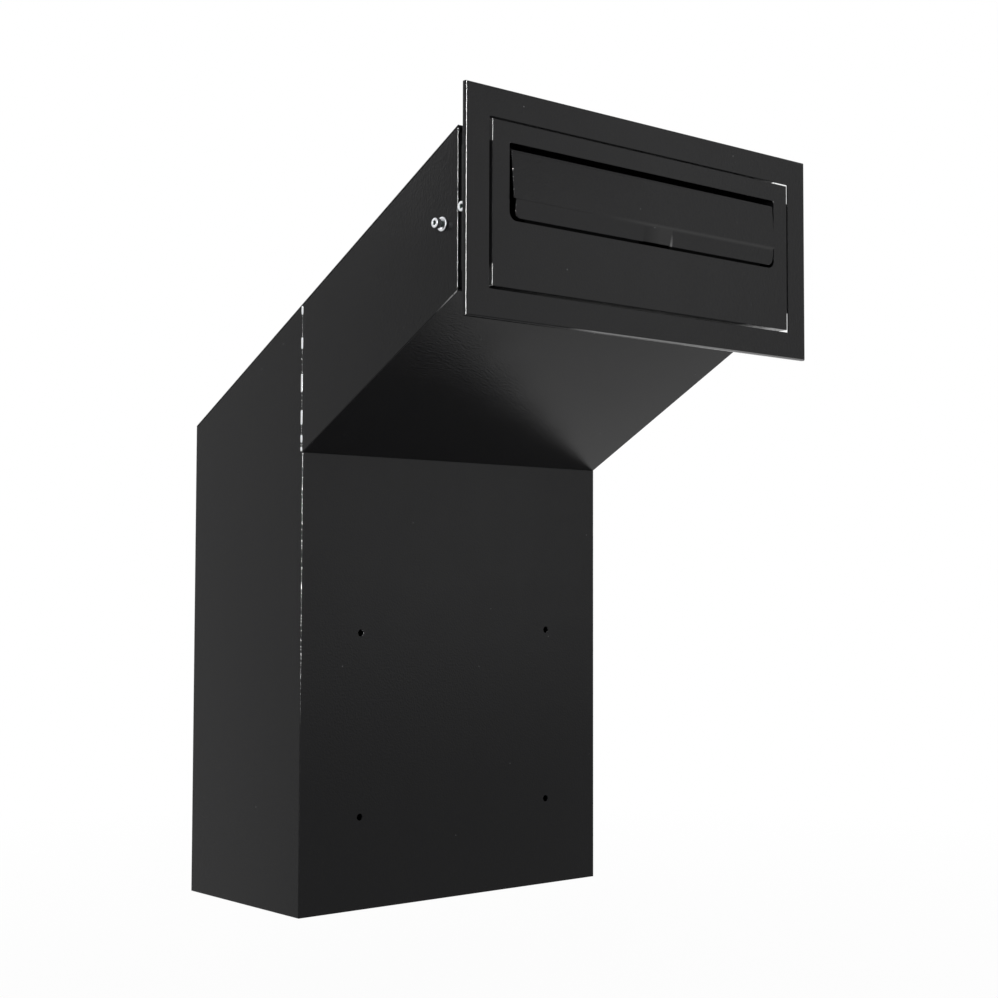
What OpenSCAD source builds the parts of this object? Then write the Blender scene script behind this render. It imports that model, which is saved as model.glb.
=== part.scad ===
// Through-wall letter box in folded, powder-coated sheet steel.
// X runs along the wall, -Y points out to the street, +Y into the room and +Z up.
// The origin is the middle of the four wall holes, on the face that lies against the wall.

/* [Body] */
// Width of the body and of the chute
body_w = 300; // [240:1:380]
// Depth of the body behind the wall face
body_d = 155; // [125:1:220]
// Height of the panel that lies against the wall
front_h = 346; // [300:1:440]
// Thickness of the body's sheet
sheet = 1.5; // [1:0.1:2.5]

/* [Chute] */
// Slope of the roof and of the chute's floor, in degrees
slope = 28; // [20:0.5:35]
// How far the chute stands out of the wall face
chute_reach = 184; // [150:1:260]
// Upright height of the chute
mouth_h = 113; // [104:1:150]

/* [Wall holes] */
// Distance between the wall holes along the wall
bolt_pitch_x = 190; // [140:1:220]
// Distance between the upper and lower wall holes
bolt_pitch_z = 140; // [100:1:200]
// Height of the lower wall holes above the bottom
bolt_low = 70; // [40:1:90]
// Width of a wall hole
bolt_hole_d = 5.2; // [4:0.1:8]

/* [Front trim] */
// Thickness of the sheet of the front parts
thin = 1.2; // [0.8:0.1:1.5]
// How far the trim's front stands before the chute's mouth, with the sleeve pushed in
front_stand = 33.5; // [32:0.5:80]
// Width of the face around the trim's opening
trim_margin = 20; // [12:0.5:30]
// Depth of the trim's folded outer edge
trim_lip = 4; // [2.5:0.1:10]
// Depth of the drilled tabs at the trim's sides
trim_tab = 28; // [20:0.5:30]
// Depth of the strips above and below the trim's opening
trim_strip = 15; // [8:0.5:20]
// Open length at each corner of the trim's opening, where no strip or tab starts
trim_notch = 15; // [8:0.5:30]

/* [Sleeve and slot panel] */
// Travel of the sleeve out of the chute, over which it still passes the clamp screws
sleeve_travel = 50; // [20:1:60]
// Gap between the sleeve and the chute's sides
sleeve_gap = 1.7; // [1.6:0.1:4]
// Gap between the sleeve and the chute's roof at the mouth
sleeve_head = 1.8; // [1:0.1:4]
// Gap between the slot panel and the trim at the sides
panel_gap_x = 2; // [1:0.1:4]
// Gap between the slot panel and the trim above and below
panel_gap_z = 1.7; // [1:0.1:3]
// How far the slot panel stands proud of the trim
panel_proud = 0.5; // [0:0.1:2]
// Depth of the slot panel's folded edge
panel_lip = 16; // [8:0.5:20]
// Height of the slot
slot_h = 52; // [40:1:60]
// Width of the panel's face beside the slot
slot_side = 15; // [12:0.5:30]
// Height of the panel's face above the slot
slot_head = 13.8; // [10:0.1:20]
// Radius of the slot's lower corners
slot_round = 6; // [2:0.5:12]
// Radius of the slot's upper corners
slot_nick = 1.2; // [0.5:0.1:3]

/* [Flap] */
// Gap between the flap and the slot's ends
flap_gap = 1.7; // [1:0.1:4]
// Gap between the flap's top edge and the slot's upper edge
flap_head_gap = 4.3; // [3.5:0.1:8]
// Gap between the flap's lower edge and the slot's lower edge
flap_foot_gap = 1.5; // [1:0.1:3]
// Height of the flap's lower strip
flap_strip = 12.8; // [10:0.1:16]
// How far the crease stands proud of the slot panel
crease_proud = 2.8; // [1:0.1:5]
// How far the lower edge's outer face stands proud of the slot panel
foot_proud = 1.4; // [1.2:0.1:3]
// How far the lower strip's ends are cut back
strip_cut = 2; // [0.5:0.1:6]
// Radius of the lower strip's corners
strip_round = 5; // [2:0.5:7]
// Thickness of the hinge rod
rod_d = 3; // [2:0.1:4]
// Distance from the flap's outer face back to the hinge rod's axis
rod_back = 5; // [4.6:0.1:7]
// Drop from the flap's top edge to the hinge rod's axis
rod_drop = 1.1; // [0.8:0.1:2]
// Width of the finger scoop
scoop_w = 27; // [18:0.5:40]
// How far the finger scoop's middle is from the flap's middle
scoop_x = 4.5; // [-20:0.5:20]
// Depth of the finger scoop
scoop_deep = 1.1; // [0.5:0.1:2]

/* [Rear door] */
// Depth of the door inside the body's rear edge
door_d = 12; // [11:0.5:18]
// Gap around the door
door_gap = 2; // [1.6:0.1:4]
// Width of the rear frame beside and below the opening
frame_lip = 22; // [16:0.5:30]
// Thickness of the hinge pins
pin_d = 4; // [3:0.1:5]
// Distance from the door's hinge edge to the pins' axis
pin_in = 5.5; // [5:0.1:8]
// Distance from the door's outer face to the pins' axis
pin_back = 4; // [3.5:0.1:5]

/* [Lock] */
// Distance from the edge of the rear opening to the lock
lock_clear = 14.5; // [12:0.5:40]
// Diameter of the lock's threaded housing
lock_d = 18; // [14:0.5:20]
// Diameter of the lock's flange
lock_flange_d = 22; // [21:0.5:26]
// Diameter of the turning plug
plug_d = 11; // [9:0.5:12]
// How far the locked cam reaches behind the rear frame
cam_bite = 13.5; // [6:0.5:14]
// Width of the cam
cam_w = 13; // [11:0.5:16]

/* [Screws] */
// Thread diameter of the cap screws
screw_d = 4; // [3:0.5:5]
// Diameter of the cap screws' heads
head_d = 7; // [6:0.1:9]
// Height of the cap screws' heads
head_h = 4; // [3:0.1:5]
// Distance of the clamp screws behind the chute's mouth
clamp_in = 16.6; // [12:0.1:18]
// How far the clamp screws' heads stand off their nuts
clamp_stand = 2; // [0.5:0.1:5]

/* [Hidden] */
$fn = 64;
over = 1;           // how far a cut runs past the face that it opens
black = "#2b2b2d";
zinc = "#b9bcc0";
nickel = "#c2c0ba";
seat_gap = 0.1;     // gap of a piece that rests on another body
rise = tan(slope);
skin_v = sheet / cos(slope);      // upright thickness of a sloped sheet
mouth_low = front_h + chute_reach * rise;
mouth_top = mouth_low + mouth_h;
roof_wall = mouth_top - chute_reach * rise;
back_h = roof_wall - body_d * rise;
seam_top = roof_wall - sheet * rise - skin_v;   // top of the seam between body and chute
inner_x = body_w / 2 - sheet;
bolt_mid = bolt_low + bolt_pitch_z / 2;

// Front unit: trim, slot panel and sleeve
ceiling_gap = 0.5;  // between the sleeve and the roof, along the slope
floor_gap = 0.4;    // between the sleeve and the chute's floor at the mouth
panel_under = 1.8;  // between the sleeve and the slot panel's lower fold
sleeve_grip = 7.4;  // how far the drawn-out sleeve still reaches past the clamp screws
sleeve_w = 2 * (inner_x - sleeve_gap);
sleeve_top = mouth_top - skin_v - sleeve_head;
sleeve_low = mouth_low + skin_v + floor_gap;
sleeve_end = -chute_reach + clamp_in + sleeve_travel + sleeve_grip;
panel_top = sleeve_top + thin;
panel_low = sleeve_low - panel_under - thin;
panel_w = sleeve_w + 2 * thin;
panel_h = panel_top - panel_low;
front_z = (panel_top + panel_low) / 2;
trim_open_w = panel_w + 2 * panel_gap_x;
trim_open_h = panel_h + 2 * panel_gap_z;
trim_w = trim_open_w + 2 * trim_margin;
trim_h = trim_open_h + 2 * trim_margin;
trim_reach = chute_reach + front_stand;
panel_y = -trim_reach - panel_proud;
panel_back = panel_y + thin;
sleeve_bend = -chute_reach + (mouth_top - skin_v - ceiling_gap - sleeve_top) / rise;
sleeve_skin = thin / cos(slope);
tab_h = trim_open_h - 2 * trim_notch;
strip_w = trim_open_w - 2 * trim_notch;

// Slot, flap and rod
slot_w = panel_w - 2 * slot_side;
slot_top = panel_top - slot_head;
slot_low = slot_top - slot_h;
slot_z = (slot_top + slot_low) / 2;
flap_top = slot_top - flap_head_gap;
flap_low = slot_low + flap_foot_gap;
crease_z = flap_low + flap_strip;
flap_fall = flap_top - crease_z;
flap_w = slot_w - 2 * flap_gap;
strip_end_w = flap_w - 2 * strip_cut;
rod_y = panel_y + rod_back;
rod_z = flap_top - rod_drop;
rod_fit = 0.05;     // running clearance of the flap on its rod
curl_r = rod_d / 2 + rod_fit + thin;
bracket_t = 1.5;
bracket_gap = 3.2;  // from the flap's end to the bracket
bracket_deep = 8.8;
bracket_drop = 6;
bracket_up = 6.5;
bracket_x = flap_w / 2 + bracket_gap;
rod_rivet = 0.6;    // how far the rod's ends stand out of the brackets
stop_foot = 11;     // from the slot's lower edge down to the stop's lower edge
stop_up = 5.4;      // from the flap's lower edge up to the stop's upper edge
stop_w_share = 0.9;
notch_gap = 2;      // room in the stop beside the flap's scoop
scoop_h_share = 0.8;

// Rear frame, door and hinge
frame_y = body_d - door_d - sheet;
frame_back = frame_y + sheet;
frame_head = 30;    // width of the frame above the opening
frame_top = back_h - skin_v + door_d * rise;
door_w = 2 * (inner_x - door_gap);
door_low = sheet + door_gap;
door_top = back_h - skin_v - door_gap;
door_edge = 1;      // space between the door's folded edge and the frame
hinge_fold = 6;     // depth of the fold at the hinge edge
pin_x = door_w / 2 - pin_in;
pin_y = body_d - pin_back;
pin_fit = 0.05;
lug_gap = 0.4;      // between the door and the lug above or below
lug_w = 14.5;
lug_front = 1.5;    // from the door's outer face to the lug
pin_hold = 5.5;     // how far a pin reaches past the lug into the door
opening_top = frame_top - frame_head;

// Lock and key
opening_x = inner_x - frame_lip;
lock_x = -opening_x + lock_clear;
cam_reach = lock_clear + cam_bite;
lock_z = (door_low + door_top) / 2;
lock_fit = 0.1;
plug_fit = 0.05;
flange_t = 2;
cam_t = 2;
cam_gap = 0.5;      // between the cam and the rear frame when locked
cam_y = frame_y - cam_gap - cam_t;
housing_gap = 0.4;  // between the cam and the lock's housing
housing_end = cam_y + cam_t + housing_gap;
nut_af = 23;
nut_t = 3;
plug_face = 0.4;    // how far the plug's face stands proud of the flange
tenon = 6.4;        // square end of the plug that carries the cam
tenon_fit = 0.05;
cam_screw_head_d = 8;
cam_screw_head_h = 2.2;
cam_screw_d = 3.4;
cam_screw_l = 6;
key_t = 2;
key_blade_h = 6.6;
key_blade_l = 11.5;
key_neck = 3;
key_bow_w = 24;
key_bow_l = 21;
key_slot_gap = 0.12;
key_hole_d = 6;
key_round = 4;

// Screws and nuts
socket_af = 3;
socket_deep = 2;
clamp_y = -chute_reach + clamp_in;
clamp_z = (mouth_low + mouth_top) / 2 - clamp_in * rise;
nut_flange_d = 10;
nut_flange_t = 1;
nut_shank_d = 6;
nut_collar_d = 8;
nut_collar_t = 1.4;
standoff_d = 9;
standoff_in = 5;
screw_tip = 3.4;    // how far a trim screw reaches into its standoff past the sleeve
tab_hole_gap = 0.25;
tab_edge = 4.2;     // from the tab's rear edge to its screw
screw_y = -trim_reach + trim_tab - tab_edge;

module in_frame() {
    translate([0, 0, -bolt_mid]) children();
}

// A flat shape drawn in Y and Z, made thick along X
module yz_slab(x, thick) {
    translate([x, 0, 0]) rotate([90, 0, 90]) linear_extrude(thick) children();
}

// A flat shape drawn in X and Z, made thick along Y
module xz_slab(y, thick) {
    translate([0, y + thick, 0]) rotate([90, 0, 0]) linear_extrude(thick) children();
}

module rect(x0, z0, x1, z1) {
    translate([x0, z0]) square([x1 - x0, z1 - z0]);
}

module both_sides() {
    children();
    mirror([1, 0, 0]) children();
}

// A round bar along Y from y0 to y1
module bar_y(x, z, y0, y1, d) {
    translate([x, y0, z]) rotate([-90, 0, 0]) cylinder(d = d, h = y1 - y0);
}

// A round bar along X from x0 to x1
module bar_x(y, z, x0, x1, d) {
    translate([x0, y, z]) rotate([0, 90, 0]) cylinder(d = d, h = x1 - x0);
}

// A rectangle with its lower corners rounded by r and its upper corners by s
module letter_slot(w, h, r, s) {
    rect(-w / 2 + r, -h / 2, w / 2 - r, 0);
    rect(-w / 2, -h / 2 + r, w / 2, h / 2 - s);
    rect(-w / 2 + s, 0, w / 2 - s, h / 2);
    for (side = [-1, 1]) {
        translate([side * (w / 2 - r), -h / 2 + r]) circle(r);
        translate([side * (w / 2 - s), h / 2 - s]) circle(s);
    }
}

module body_shell() {
    color(black) in_frame() difference() {
        union() {
            xz_slab(0, sheet) rect(-body_w / 2, 0, body_w / 2, front_h);
            translate([-body_w / 2, 0, 0]) cube([body_w, body_d, sheet]);
            both_sides() yz_slab(-body_w / 2, sheet)
                polygon([[0, 0], [body_d, 0], [body_d, back_h - skin_v], [sheet, seam_top],
                         [sheet, front_h], [0, front_h]]);
        }
        for (x = [-1, 1], z = [-1, 1])
            bar_y(x * bolt_pitch_x / 2, bolt_mid + z * bolt_pitch_z / 2, -over, sheet + over, bolt_hole_d);
    }
}

// The chute's floor lies on the wall panel's upper edge, and its sides end behind that panel
module chute_shell() {
    color(black) in_frame() difference() {
        union() {
            yz_slab(-body_w / 2, body_w)
                polygon([[0, front_h], [-chute_reach, mouth_low], [-chute_reach, mouth_low + skin_v],
                         [sheet, front_h + skin_v - sheet * rise], [sheet, front_h]]);
            both_sides() yz_slab(-body_w / 2, sheet)
                polygon([[0, front_h], [-chute_reach, mouth_low], [-chute_reach, mouth_top - skin_v],
                         [sheet, seam_top], [sheet, front_h]]);
        }
        both_sides() bar_x(clamp_y, clamp_z, -body_w / 2 - over, -inner_x + over, nut_shank_d);
    }
}

module roof_panel() {
    color(black) in_frame() yz_slab(-body_w / 2, body_w)
        polygon([[body_d, back_h - skin_v], [body_d, back_h], [-chute_reach, mouth_top],
                 [-chute_reach, mouth_top - skin_v]]);
}

module rear_frame() {
    color(black) in_frame() xz_slab(frame_y, sheet) difference() {
        rect(-inner_x, sheet, inner_x, frame_top);
        rect(-opening_x, sheet + frame_lip, opening_x, opening_top);
    }
}

module hinge_lug(low, high) {
    difference() {
        translate([inner_x - lug_w, frame_back, low]) cube([lug_w, door_d - lug_front, high - low]);
        translate([pin_x, pin_y, low - over]) cylinder(d = pin_d, h = high - low + 2 * over);
    }
}

module hinge_lugs() {
    color(black) in_frame() {
        hinge_lug(door_top + lug_gap, back_h - skin_v);
        hinge_lug(sheet, door_low - lug_gap);
    }
}

module hinge_pins() {
    color(zinc) in_frame() {
        translate([pin_x, pin_y, door_top - pin_hold])
            cylinder(d = pin_d, h = back_h - skin_v - door_top + pin_hold);
        translate([pin_x, pin_y, sheet]) cylinder(d = pin_d, h = door_low - sheet + pin_hold);
    }
}

// Outline of the door's upper and lower folds, cut back where they turn past the frame
module door_fold() {
    polygon([[-door_w / 2, frame_back + door_edge], [pin_x - pin_back / 4, frame_back + door_edge],
             [door_w / 2, body_d - hinge_fold], [door_w / 2, body_d], [-door_w / 2, body_d]]);
}

module door_panel() {
    color(black) in_frame() difference() {
        union() {
            xz_slab(body_d - thin, thin) rect(-door_w / 2, door_low, door_w / 2, door_top);
            translate([-door_w / 2, frame_back + door_edge, door_low])
                cube([thin, door_d - door_edge, door_top - door_low]);
            translate([door_w / 2 - thin, body_d - hinge_fold, door_low])
                cube([thin, hinge_fold, door_top - door_low]);
            translate([0, 0, door_low]) linear_extrude(thin) door_fold();
            translate([0, 0, door_top - thin]) linear_extrude(thin) door_fold();
        }
        for (z = [door_low, door_top - thin])
            translate([pin_x, pin_y, z - over]) cylinder(d = pin_d + 2 * pin_fit, h = thin + 2 * over);
        bar_y(lock_x, lock_z, body_d - thin - over, body_d + over, lock_d + 2 * lock_fit);
    }
}

module lock_housing() {
    color(zinc) in_frame() difference() {
        union() {
            bar_y(lock_x, lock_z, housing_end, body_d, lock_d);
            bar_y(lock_x, lock_z, body_d, body_d + flange_t, lock_flange_d);
        }
        bar_y(lock_x, lock_z, housing_end - over, body_d + flange_t + over, plug_d + 2 * plug_fit);
    }
}

module lock_nut() {
    color(zinc) in_frame() difference() {
        translate([lock_x, body_d - thin - nut_t, lock_z]) rotate([-90, 0, 0])
            cylinder(d = nut_af / cos(30), h = nut_t, $fn = 6);
        bar_y(lock_x, lock_z, body_d - thin - nut_t - over, body_d, lock_d);
    }
}

module lock_plug() {
    color(zinc) in_frame() difference() {
        union() {
            bar_y(lock_x, lock_z, cam_y + cam_t, body_d + flange_t + plug_face, plug_d);
            translate([lock_x - tenon / 2, cam_y, lock_z - tenon / 2]) cube([tenon, cam_t + over, tenon]);
        }
        translate([lock_x - key_t / 2 - key_slot_gap, body_d + flange_t - key_blade_l,
                   lock_z - key_blade_h / 2 - key_slot_gap])
            cube([key_t + 2 * key_slot_gap, key_blade_l + over, key_blade_h + 2 * key_slot_gap]);
        bar_y(lock_x, lock_z, cam_y - over, cam_y + cam_screw_l - seat_gap, cam_screw_d);
    }
}

module lock_cam() {
    hole = tenon + 2 * tenon_fit;
    color(zinc) in_frame() difference() {
        union() {
            bar_y(lock_x, lock_z, cam_y, cam_y + cam_t, cam_w);
            translate([lock_x - cam_w / 2, cam_y, lock_z - cam_reach + cam_w / 4])
                cube([cam_w, cam_t, cam_reach - cam_w / 4]);
            translate([lock_x - cam_w / 4, cam_y, lock_z - cam_reach]) cube([cam_w / 2, cam_t, cam_w / 2]);
            for (x = [lock_x - cam_w / 4, lock_x + cam_w / 4])
                bar_y(x, lock_z - cam_reach + cam_w / 4, cam_y, cam_y + cam_t, cam_w / 2);
        }
        translate([lock_x - hole / 2, cam_y - over, lock_z - hole / 2]) cube([hole, cam_t + 2 * over, hole]);
    }
}

module cam_screw() {
    color(zinc) in_frame() difference() {
        union() {
            bar_y(lock_x, lock_z, cam_y - cam_screw_head_h, cam_y, cam_screw_head_d);
            bar_y(lock_x, lock_z, cam_y, cam_y + cam_screw_l - 2 * seat_gap, cam_screw_d);
        }
        translate([lock_x, cam_y - cam_screw_head_h / 2, lock_z]) rotate([90, 0, 0])
            cylinder(d = socket_af / cos(30), h = cam_screw_head_h, $fn = 6);
    }
}

// The key's blade lies in the plug; its rounded bow starts at bow_y
module key() {
    bow_y = body_d + flange_t + plug_face + key_neck;
    half_w = key_bow_w / 2;
    color(nickel) in_frame() translate([lock_x - key_t / 2, 0, lock_z]) {
        translate([0, body_d + flange_t - key_blade_l + seat_gap, -key_blade_h / 2])
            cube([key_t, key_blade_l + plug_face + key_neck + key_round, key_blade_h]);
        yz_slab(0, key_t) translate([bow_y, 0]) difference() {
            union() {
                rect(key_round, -half_w, key_bow_l - key_round, half_w);
                rect(0, -half_w + key_round, key_bow_l, half_w - key_round);
                for (y = [key_round, key_bow_l - key_round], z = [-1, 1])
                    translate([y, z * (half_w - key_round)]) circle(key_round);
            }
            translate([key_bow_l - key_hole_d, 0]) circle(d = key_hole_d);
        }
    }
}

// Side view of the sleeve between heights low and top, run past its ends by extra
module sleeve_side(low, top, extra) {
    front = panel_back - extra;
    end = sleeve_end + extra;
    polygon([[front, low], [end, low], [end, top - (end - sleeve_bend) * rise], [sleeve_bend, top],
             [front, top]]);
}

module sleeve() {
    color(black) in_frame() difference() {
        union() {
            both_sides() yz_slab(-sleeve_w / 2, thin) sleeve_side(sleeve_low, sleeve_top, 0);
            yz_slab(-sleeve_w / 2, sleeve_w) difference() {
                sleeve_side(sleeve_low, sleeve_top, 0);
                sleeve_side(sleeve_low + thin, sleeve_top - sleeve_skin, over);
            }
        }
        both_sides() bar_x(screw_y, front_z, -sleeve_w / 2 - over, -sleeve_w / 2 + thin + over, nut_shank_d);
    }
}

module slot_panel() {
    color(black) in_frame() {
        xz_slab(panel_y, thin) difference() {
            translate([0, front_z]) square([panel_w, panel_h], center = true);
            translate([0, slot_z]) letter_slot(slot_w, slot_h, slot_round, slot_nick);
        }
        xz_slab(panel_y, panel_lip) translate([0, front_z]) difference() {
            square([panel_w, panel_h], center = true);
            square([panel_w - 2 * thin, panel_h - 2 * thin], center = true);
        }
    }
}

module rod_brackets() {
    color(black) in_frame() both_sides() difference() {
        yz_slab(bracket_x, bracket_t)
            rect(panel_back, rod_z - bracket_drop, panel_back + bracket_deep, rod_z + bracket_up);
        bar_x(rod_y, rod_z, bracket_x - over, bracket_x + bracket_t + over, rod_d);
    }
}

module flap_rod() {
    end = bracket_x + bracket_t + rod_rivet;
    color(zinc) in_frame() bar_x(rod_y, rod_z, -end, end, rod_d);
}

// Outer face of the flap at height z, as a place on Y
function flap_face(z) = z > crease_z
    ? panel_y - crease_proud * (flap_top - z) / flap_fall
    : panel_y - crease_proud + (crease_proud - foot_proud) * (crease_z - z) / flap_strip;

module flap_stop() {
    tip_z = flap_low + stop_up;
    tip_y = flap_face(tip_z) + thin + seat_gap;
    w = stop_w_share * flap_w;
    foot_z = slot_low - stop_foot;
    notch = scoop_w + 2 * notch_gap;
    color(black) in_frame() difference() {
        yz_slab(-w / 2, w)
            polygon([[panel_back, foot_z], [panel_back, slot_low], [tip_y, tip_z], [tip_y + thin, tip_z],
                     [panel_back + thin, slot_low], [panel_back + thin, foot_z]]);
        translate([scoop_x - notch / 2, tip_y - over, slot_low])
            cube([notch, rod_back, tip_z - slot_low + over]);
    }
}

// Front view of the flap: the upper part, and the lower strip with cut-back, rounded ends
module flap_outline() {
    rect(-flap_w / 2, crease_z, flap_w / 2, flap_top + 2 * curl_r);
    rect(-strip_end_w / 2, flap_low + strip_round, strip_end_w / 2, crease_z);
    rect(-strip_end_w / 2 + strip_round, flap_low, strip_end_w / 2 - strip_round, crease_z);
    for (side = [-1, 1])
        translate([side * (strip_end_w / 2 - strip_round), flap_low + strip_round]) circle(strip_round);
}

// Side view of the flap from its lower edge up to the curl around the rod
module flap_profile() {
    polygon([[flap_face(flap_low), flap_low], [flap_face(crease_z), crease_z], [panel_y, flap_top],
             [rod_y, rod_z + curl_r], [rod_y, rod_z + curl_r - thin], [panel_y + thin, flap_top - thin],
             [flap_face(crease_z) + thin, crease_z], [flap_face(flap_low) + thin, flap_low]]);
}

module flap() {
    scoop_z = crease_z - flap_strip / 2;
    scoop_h = scoop_h_share * flap_strip;
    scoop_r = (scoop_h * scoop_h / 4 + scoop_deep * scoop_deep) / (2 * scoop_deep);
    scoop_y = flap_face(scoop_z) + scoop_deep - scoop_r;
    color(black) in_frame() difference() {
        union() {
            intersection() {
                yz_slab(-flap_w / 2, flap_w) flap_profile();
                xz_slab(panel_y - crease_proud - over, rod_back + crease_proud + 2 * over) flap_outline();
            }
            bar_x(rod_y, rod_z, -flap_w / 2, flap_w / 2, 2 * curl_r);
            intersection() {
                bar_x(scoop_y, scoop_z, scoop_x - scoop_w / 2 - thin / 2, scoop_x + scoop_w / 2 + thin / 2,
                      2 * scoop_r + thin);
                xz_slab(flap_face(scoop_z) + thin / 2, scoop_deep + thin)
                    rect(-flap_w / 2, scoop_z - scoop_h / 2, flap_w / 2, scoop_z + scoop_h / 2);
            }
        }
        bar_x(rod_y, rod_z, -flap_w / 2 - over, flap_w / 2 + over, rod_d + 2 * rod_fit);
        bar_x(scoop_y, scoop_z, scoop_x - scoop_w / 2, scoop_x + scoop_w / 2, 2 * scoop_r);
    }
}

module trim_frame() {
    half_w = trim_open_w / 2;
    half_h = trim_open_h / 2;
    color(black) in_frame() translate([0, 0, front_z]) difference() {
        union() {
            xz_slab(-trim_reach, thin) difference() {
                square([trim_w, trim_h], center = true);
                square([trim_open_w, trim_open_h], center = true);
            }
            xz_slab(-trim_reach, trim_lip) difference() {
                square([trim_w, trim_h], center = true);
                square([trim_w - 2 * thin, trim_h - 2 * thin], center = true);
            }
            both_sides() translate([half_w, -trim_reach, -tab_h / 2]) cube([thin, trim_tab, tab_h]);
            for (z = [half_h, -half_h - thin])
                translate([-strip_w / 2, -trim_reach, z]) cube([strip_w, trim_strip, thin]);
        }
        both_sides() bar_x(screw_y, 0, half_w - over, half_w + thin + over, screw_d + 2 * tab_hole_gap);
    }
}

// A hexagon-socket cap screw along X, with its head's seat at the origin and its thread towards +X
module cap_screw(length) {
    difference() {
        union() {
            bar_x(0, 0, -head_h, 0, head_d);
            bar_x(0, 0, 0, length, screw_d);
        }
        translate([-head_h - over, 0, 0]) rotate([0, 90, 0])
            cylinder(d = socket_af / cos(30), h = socket_deep + over, $fn = 6);
    }
}

module trim_standoffs() {
    color(zinc) in_frame() both_sides() difference() {
        union() {
            bar_x(screw_y, front_z, -trim_open_w / 2, -sleeve_w / 2, standoff_d);
            bar_x(screw_y, front_z, -sleeve_w / 2, -sleeve_w / 2 + standoff_in, nut_shank_d);
        }
        bar_x(screw_y, front_z, -trim_open_w / 2 - over, -sleeve_w / 2 + standoff_in + over, screw_d);
    }
}

module trim_screws() {
    seat = -trim_open_w / 2 - thin;
    color(zinc) in_frame() both_sides() translate([seat, screw_y, front_z])
        cap_screw(-sleeve_w / 2 - seat + screw_tip);
}

module clamp_nuts() {
    color(zinc) in_frame() both_sides() difference() {
        union() {
            bar_x(clamp_y, clamp_z, -body_w / 2 - nut_flange_t, -body_w / 2, nut_flange_d);
            bar_x(clamp_y, clamp_z, -body_w / 2, -inner_x, nut_shank_d);
            bar_x(clamp_y, clamp_z, -inner_x, -inner_x + nut_collar_t, nut_collar_d);
        }
        bar_x(clamp_y, clamp_z, -body_w / 2 - nut_flange_t - over, -inner_x + nut_collar_t + over, screw_d);
    }
}

module clamp_screws() {
    seat = -body_w / 2 - nut_flange_t - clamp_stand;
    color(zinc) in_frame() both_sides() translate([seat, clamp_y, clamp_z])
        cap_screw(-sleeve_w / 2 - seat_gap - seat);
}

body_shell();
chute_shell();
roof_panel();
rear_frame();
hinge_lugs();
hinge_pins();
door_panel();
lock_housing();
lock_nut();
lock_plug();
lock_cam();
cam_screw();
key();
sleeve();
slot_panel();
rod_brackets();
flap_rod();
flap_stop();
flap();
trim_frame();
trim_standoffs();
trim_screws();
clamp_nuts();
clamp_screws();
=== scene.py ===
import math
import bmesh
import bpy
import numpy as np
from mathutils import Matrix, Vector


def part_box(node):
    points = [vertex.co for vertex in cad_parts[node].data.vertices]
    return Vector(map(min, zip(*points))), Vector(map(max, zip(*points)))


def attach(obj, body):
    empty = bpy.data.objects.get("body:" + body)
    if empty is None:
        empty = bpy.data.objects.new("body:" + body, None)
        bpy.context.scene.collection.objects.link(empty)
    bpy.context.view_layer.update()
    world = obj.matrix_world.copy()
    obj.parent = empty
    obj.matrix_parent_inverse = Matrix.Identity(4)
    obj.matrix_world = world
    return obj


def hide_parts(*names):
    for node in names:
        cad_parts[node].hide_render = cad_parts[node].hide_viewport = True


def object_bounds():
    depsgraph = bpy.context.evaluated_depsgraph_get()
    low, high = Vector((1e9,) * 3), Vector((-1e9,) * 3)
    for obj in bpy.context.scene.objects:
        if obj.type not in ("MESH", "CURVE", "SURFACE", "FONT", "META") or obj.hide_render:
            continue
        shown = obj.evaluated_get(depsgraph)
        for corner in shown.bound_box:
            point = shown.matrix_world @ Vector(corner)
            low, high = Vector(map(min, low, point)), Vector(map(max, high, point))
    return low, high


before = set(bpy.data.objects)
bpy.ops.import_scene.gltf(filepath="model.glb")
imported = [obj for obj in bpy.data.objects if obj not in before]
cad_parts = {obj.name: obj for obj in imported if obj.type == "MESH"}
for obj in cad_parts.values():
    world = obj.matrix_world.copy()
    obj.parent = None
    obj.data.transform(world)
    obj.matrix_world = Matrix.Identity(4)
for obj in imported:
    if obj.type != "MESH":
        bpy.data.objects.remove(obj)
cad_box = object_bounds()


# Camera. A slightly long lens stands to the left of the box, in front of the wall and level with its middle,
# and looks slightly up, so that the left side, the street side and the chute's underside all show.
camera_place = (-0.87333, -1.08055, 0.10322)
camera_turn = math.radians(-40.307)
camera_pitch = math.radians(3.008)
camera_roll = math.radians(0.154)
camera_lens = 62.353
camera_data = bpy.data.cameras.new("camera")
camera_data.lens = camera_lens
camera_data.sensor_width = 36
camera = bpy.data.objects.new("camera", camera_data)
bpy.context.scene.collection.objects.link(camera)
camera.matrix_world = (Matrix.Translation(camera_place) @ Matrix.Rotation(camera_turn, 4, "Z")
                       @ Matrix.Rotation(math.radians(90) + camera_pitch, 4, "X")
                       @ Matrix.Rotation(camera_roll, 4, "Z"))
bpy.context.scene.camera = camera
bpy.context.scene.view_settings.view_transform = "Standard"


# Studio. A pale floor lies below the box, which hangs over it as on its wall. The world is white to the
# camera and in reflections, and dimmer as a light. A tall strip light at the left front draws the bright
# edges, a key and a fill light the faces, and a rim light stands behind.
floor_drop = 0.12
floor_half = 6.0
floor_colour = (0.86, 0.86, 0.86)
floor_glow_share = 0.955
shadow_reach = 0.5
white_reach = 1.6
room_light = 0.42


def fed(tree, node, values):
    """Sets a node's inputs, by name or number, to values or links them to other nodes' outputs."""
    for socket, value in values.items():
        if isinstance(value, bpy.types.NodeSocket):
            tree.links.new(value, node.inputs[socket])
        else:
            node.inputs[socket].default_value = value
    return node


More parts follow.
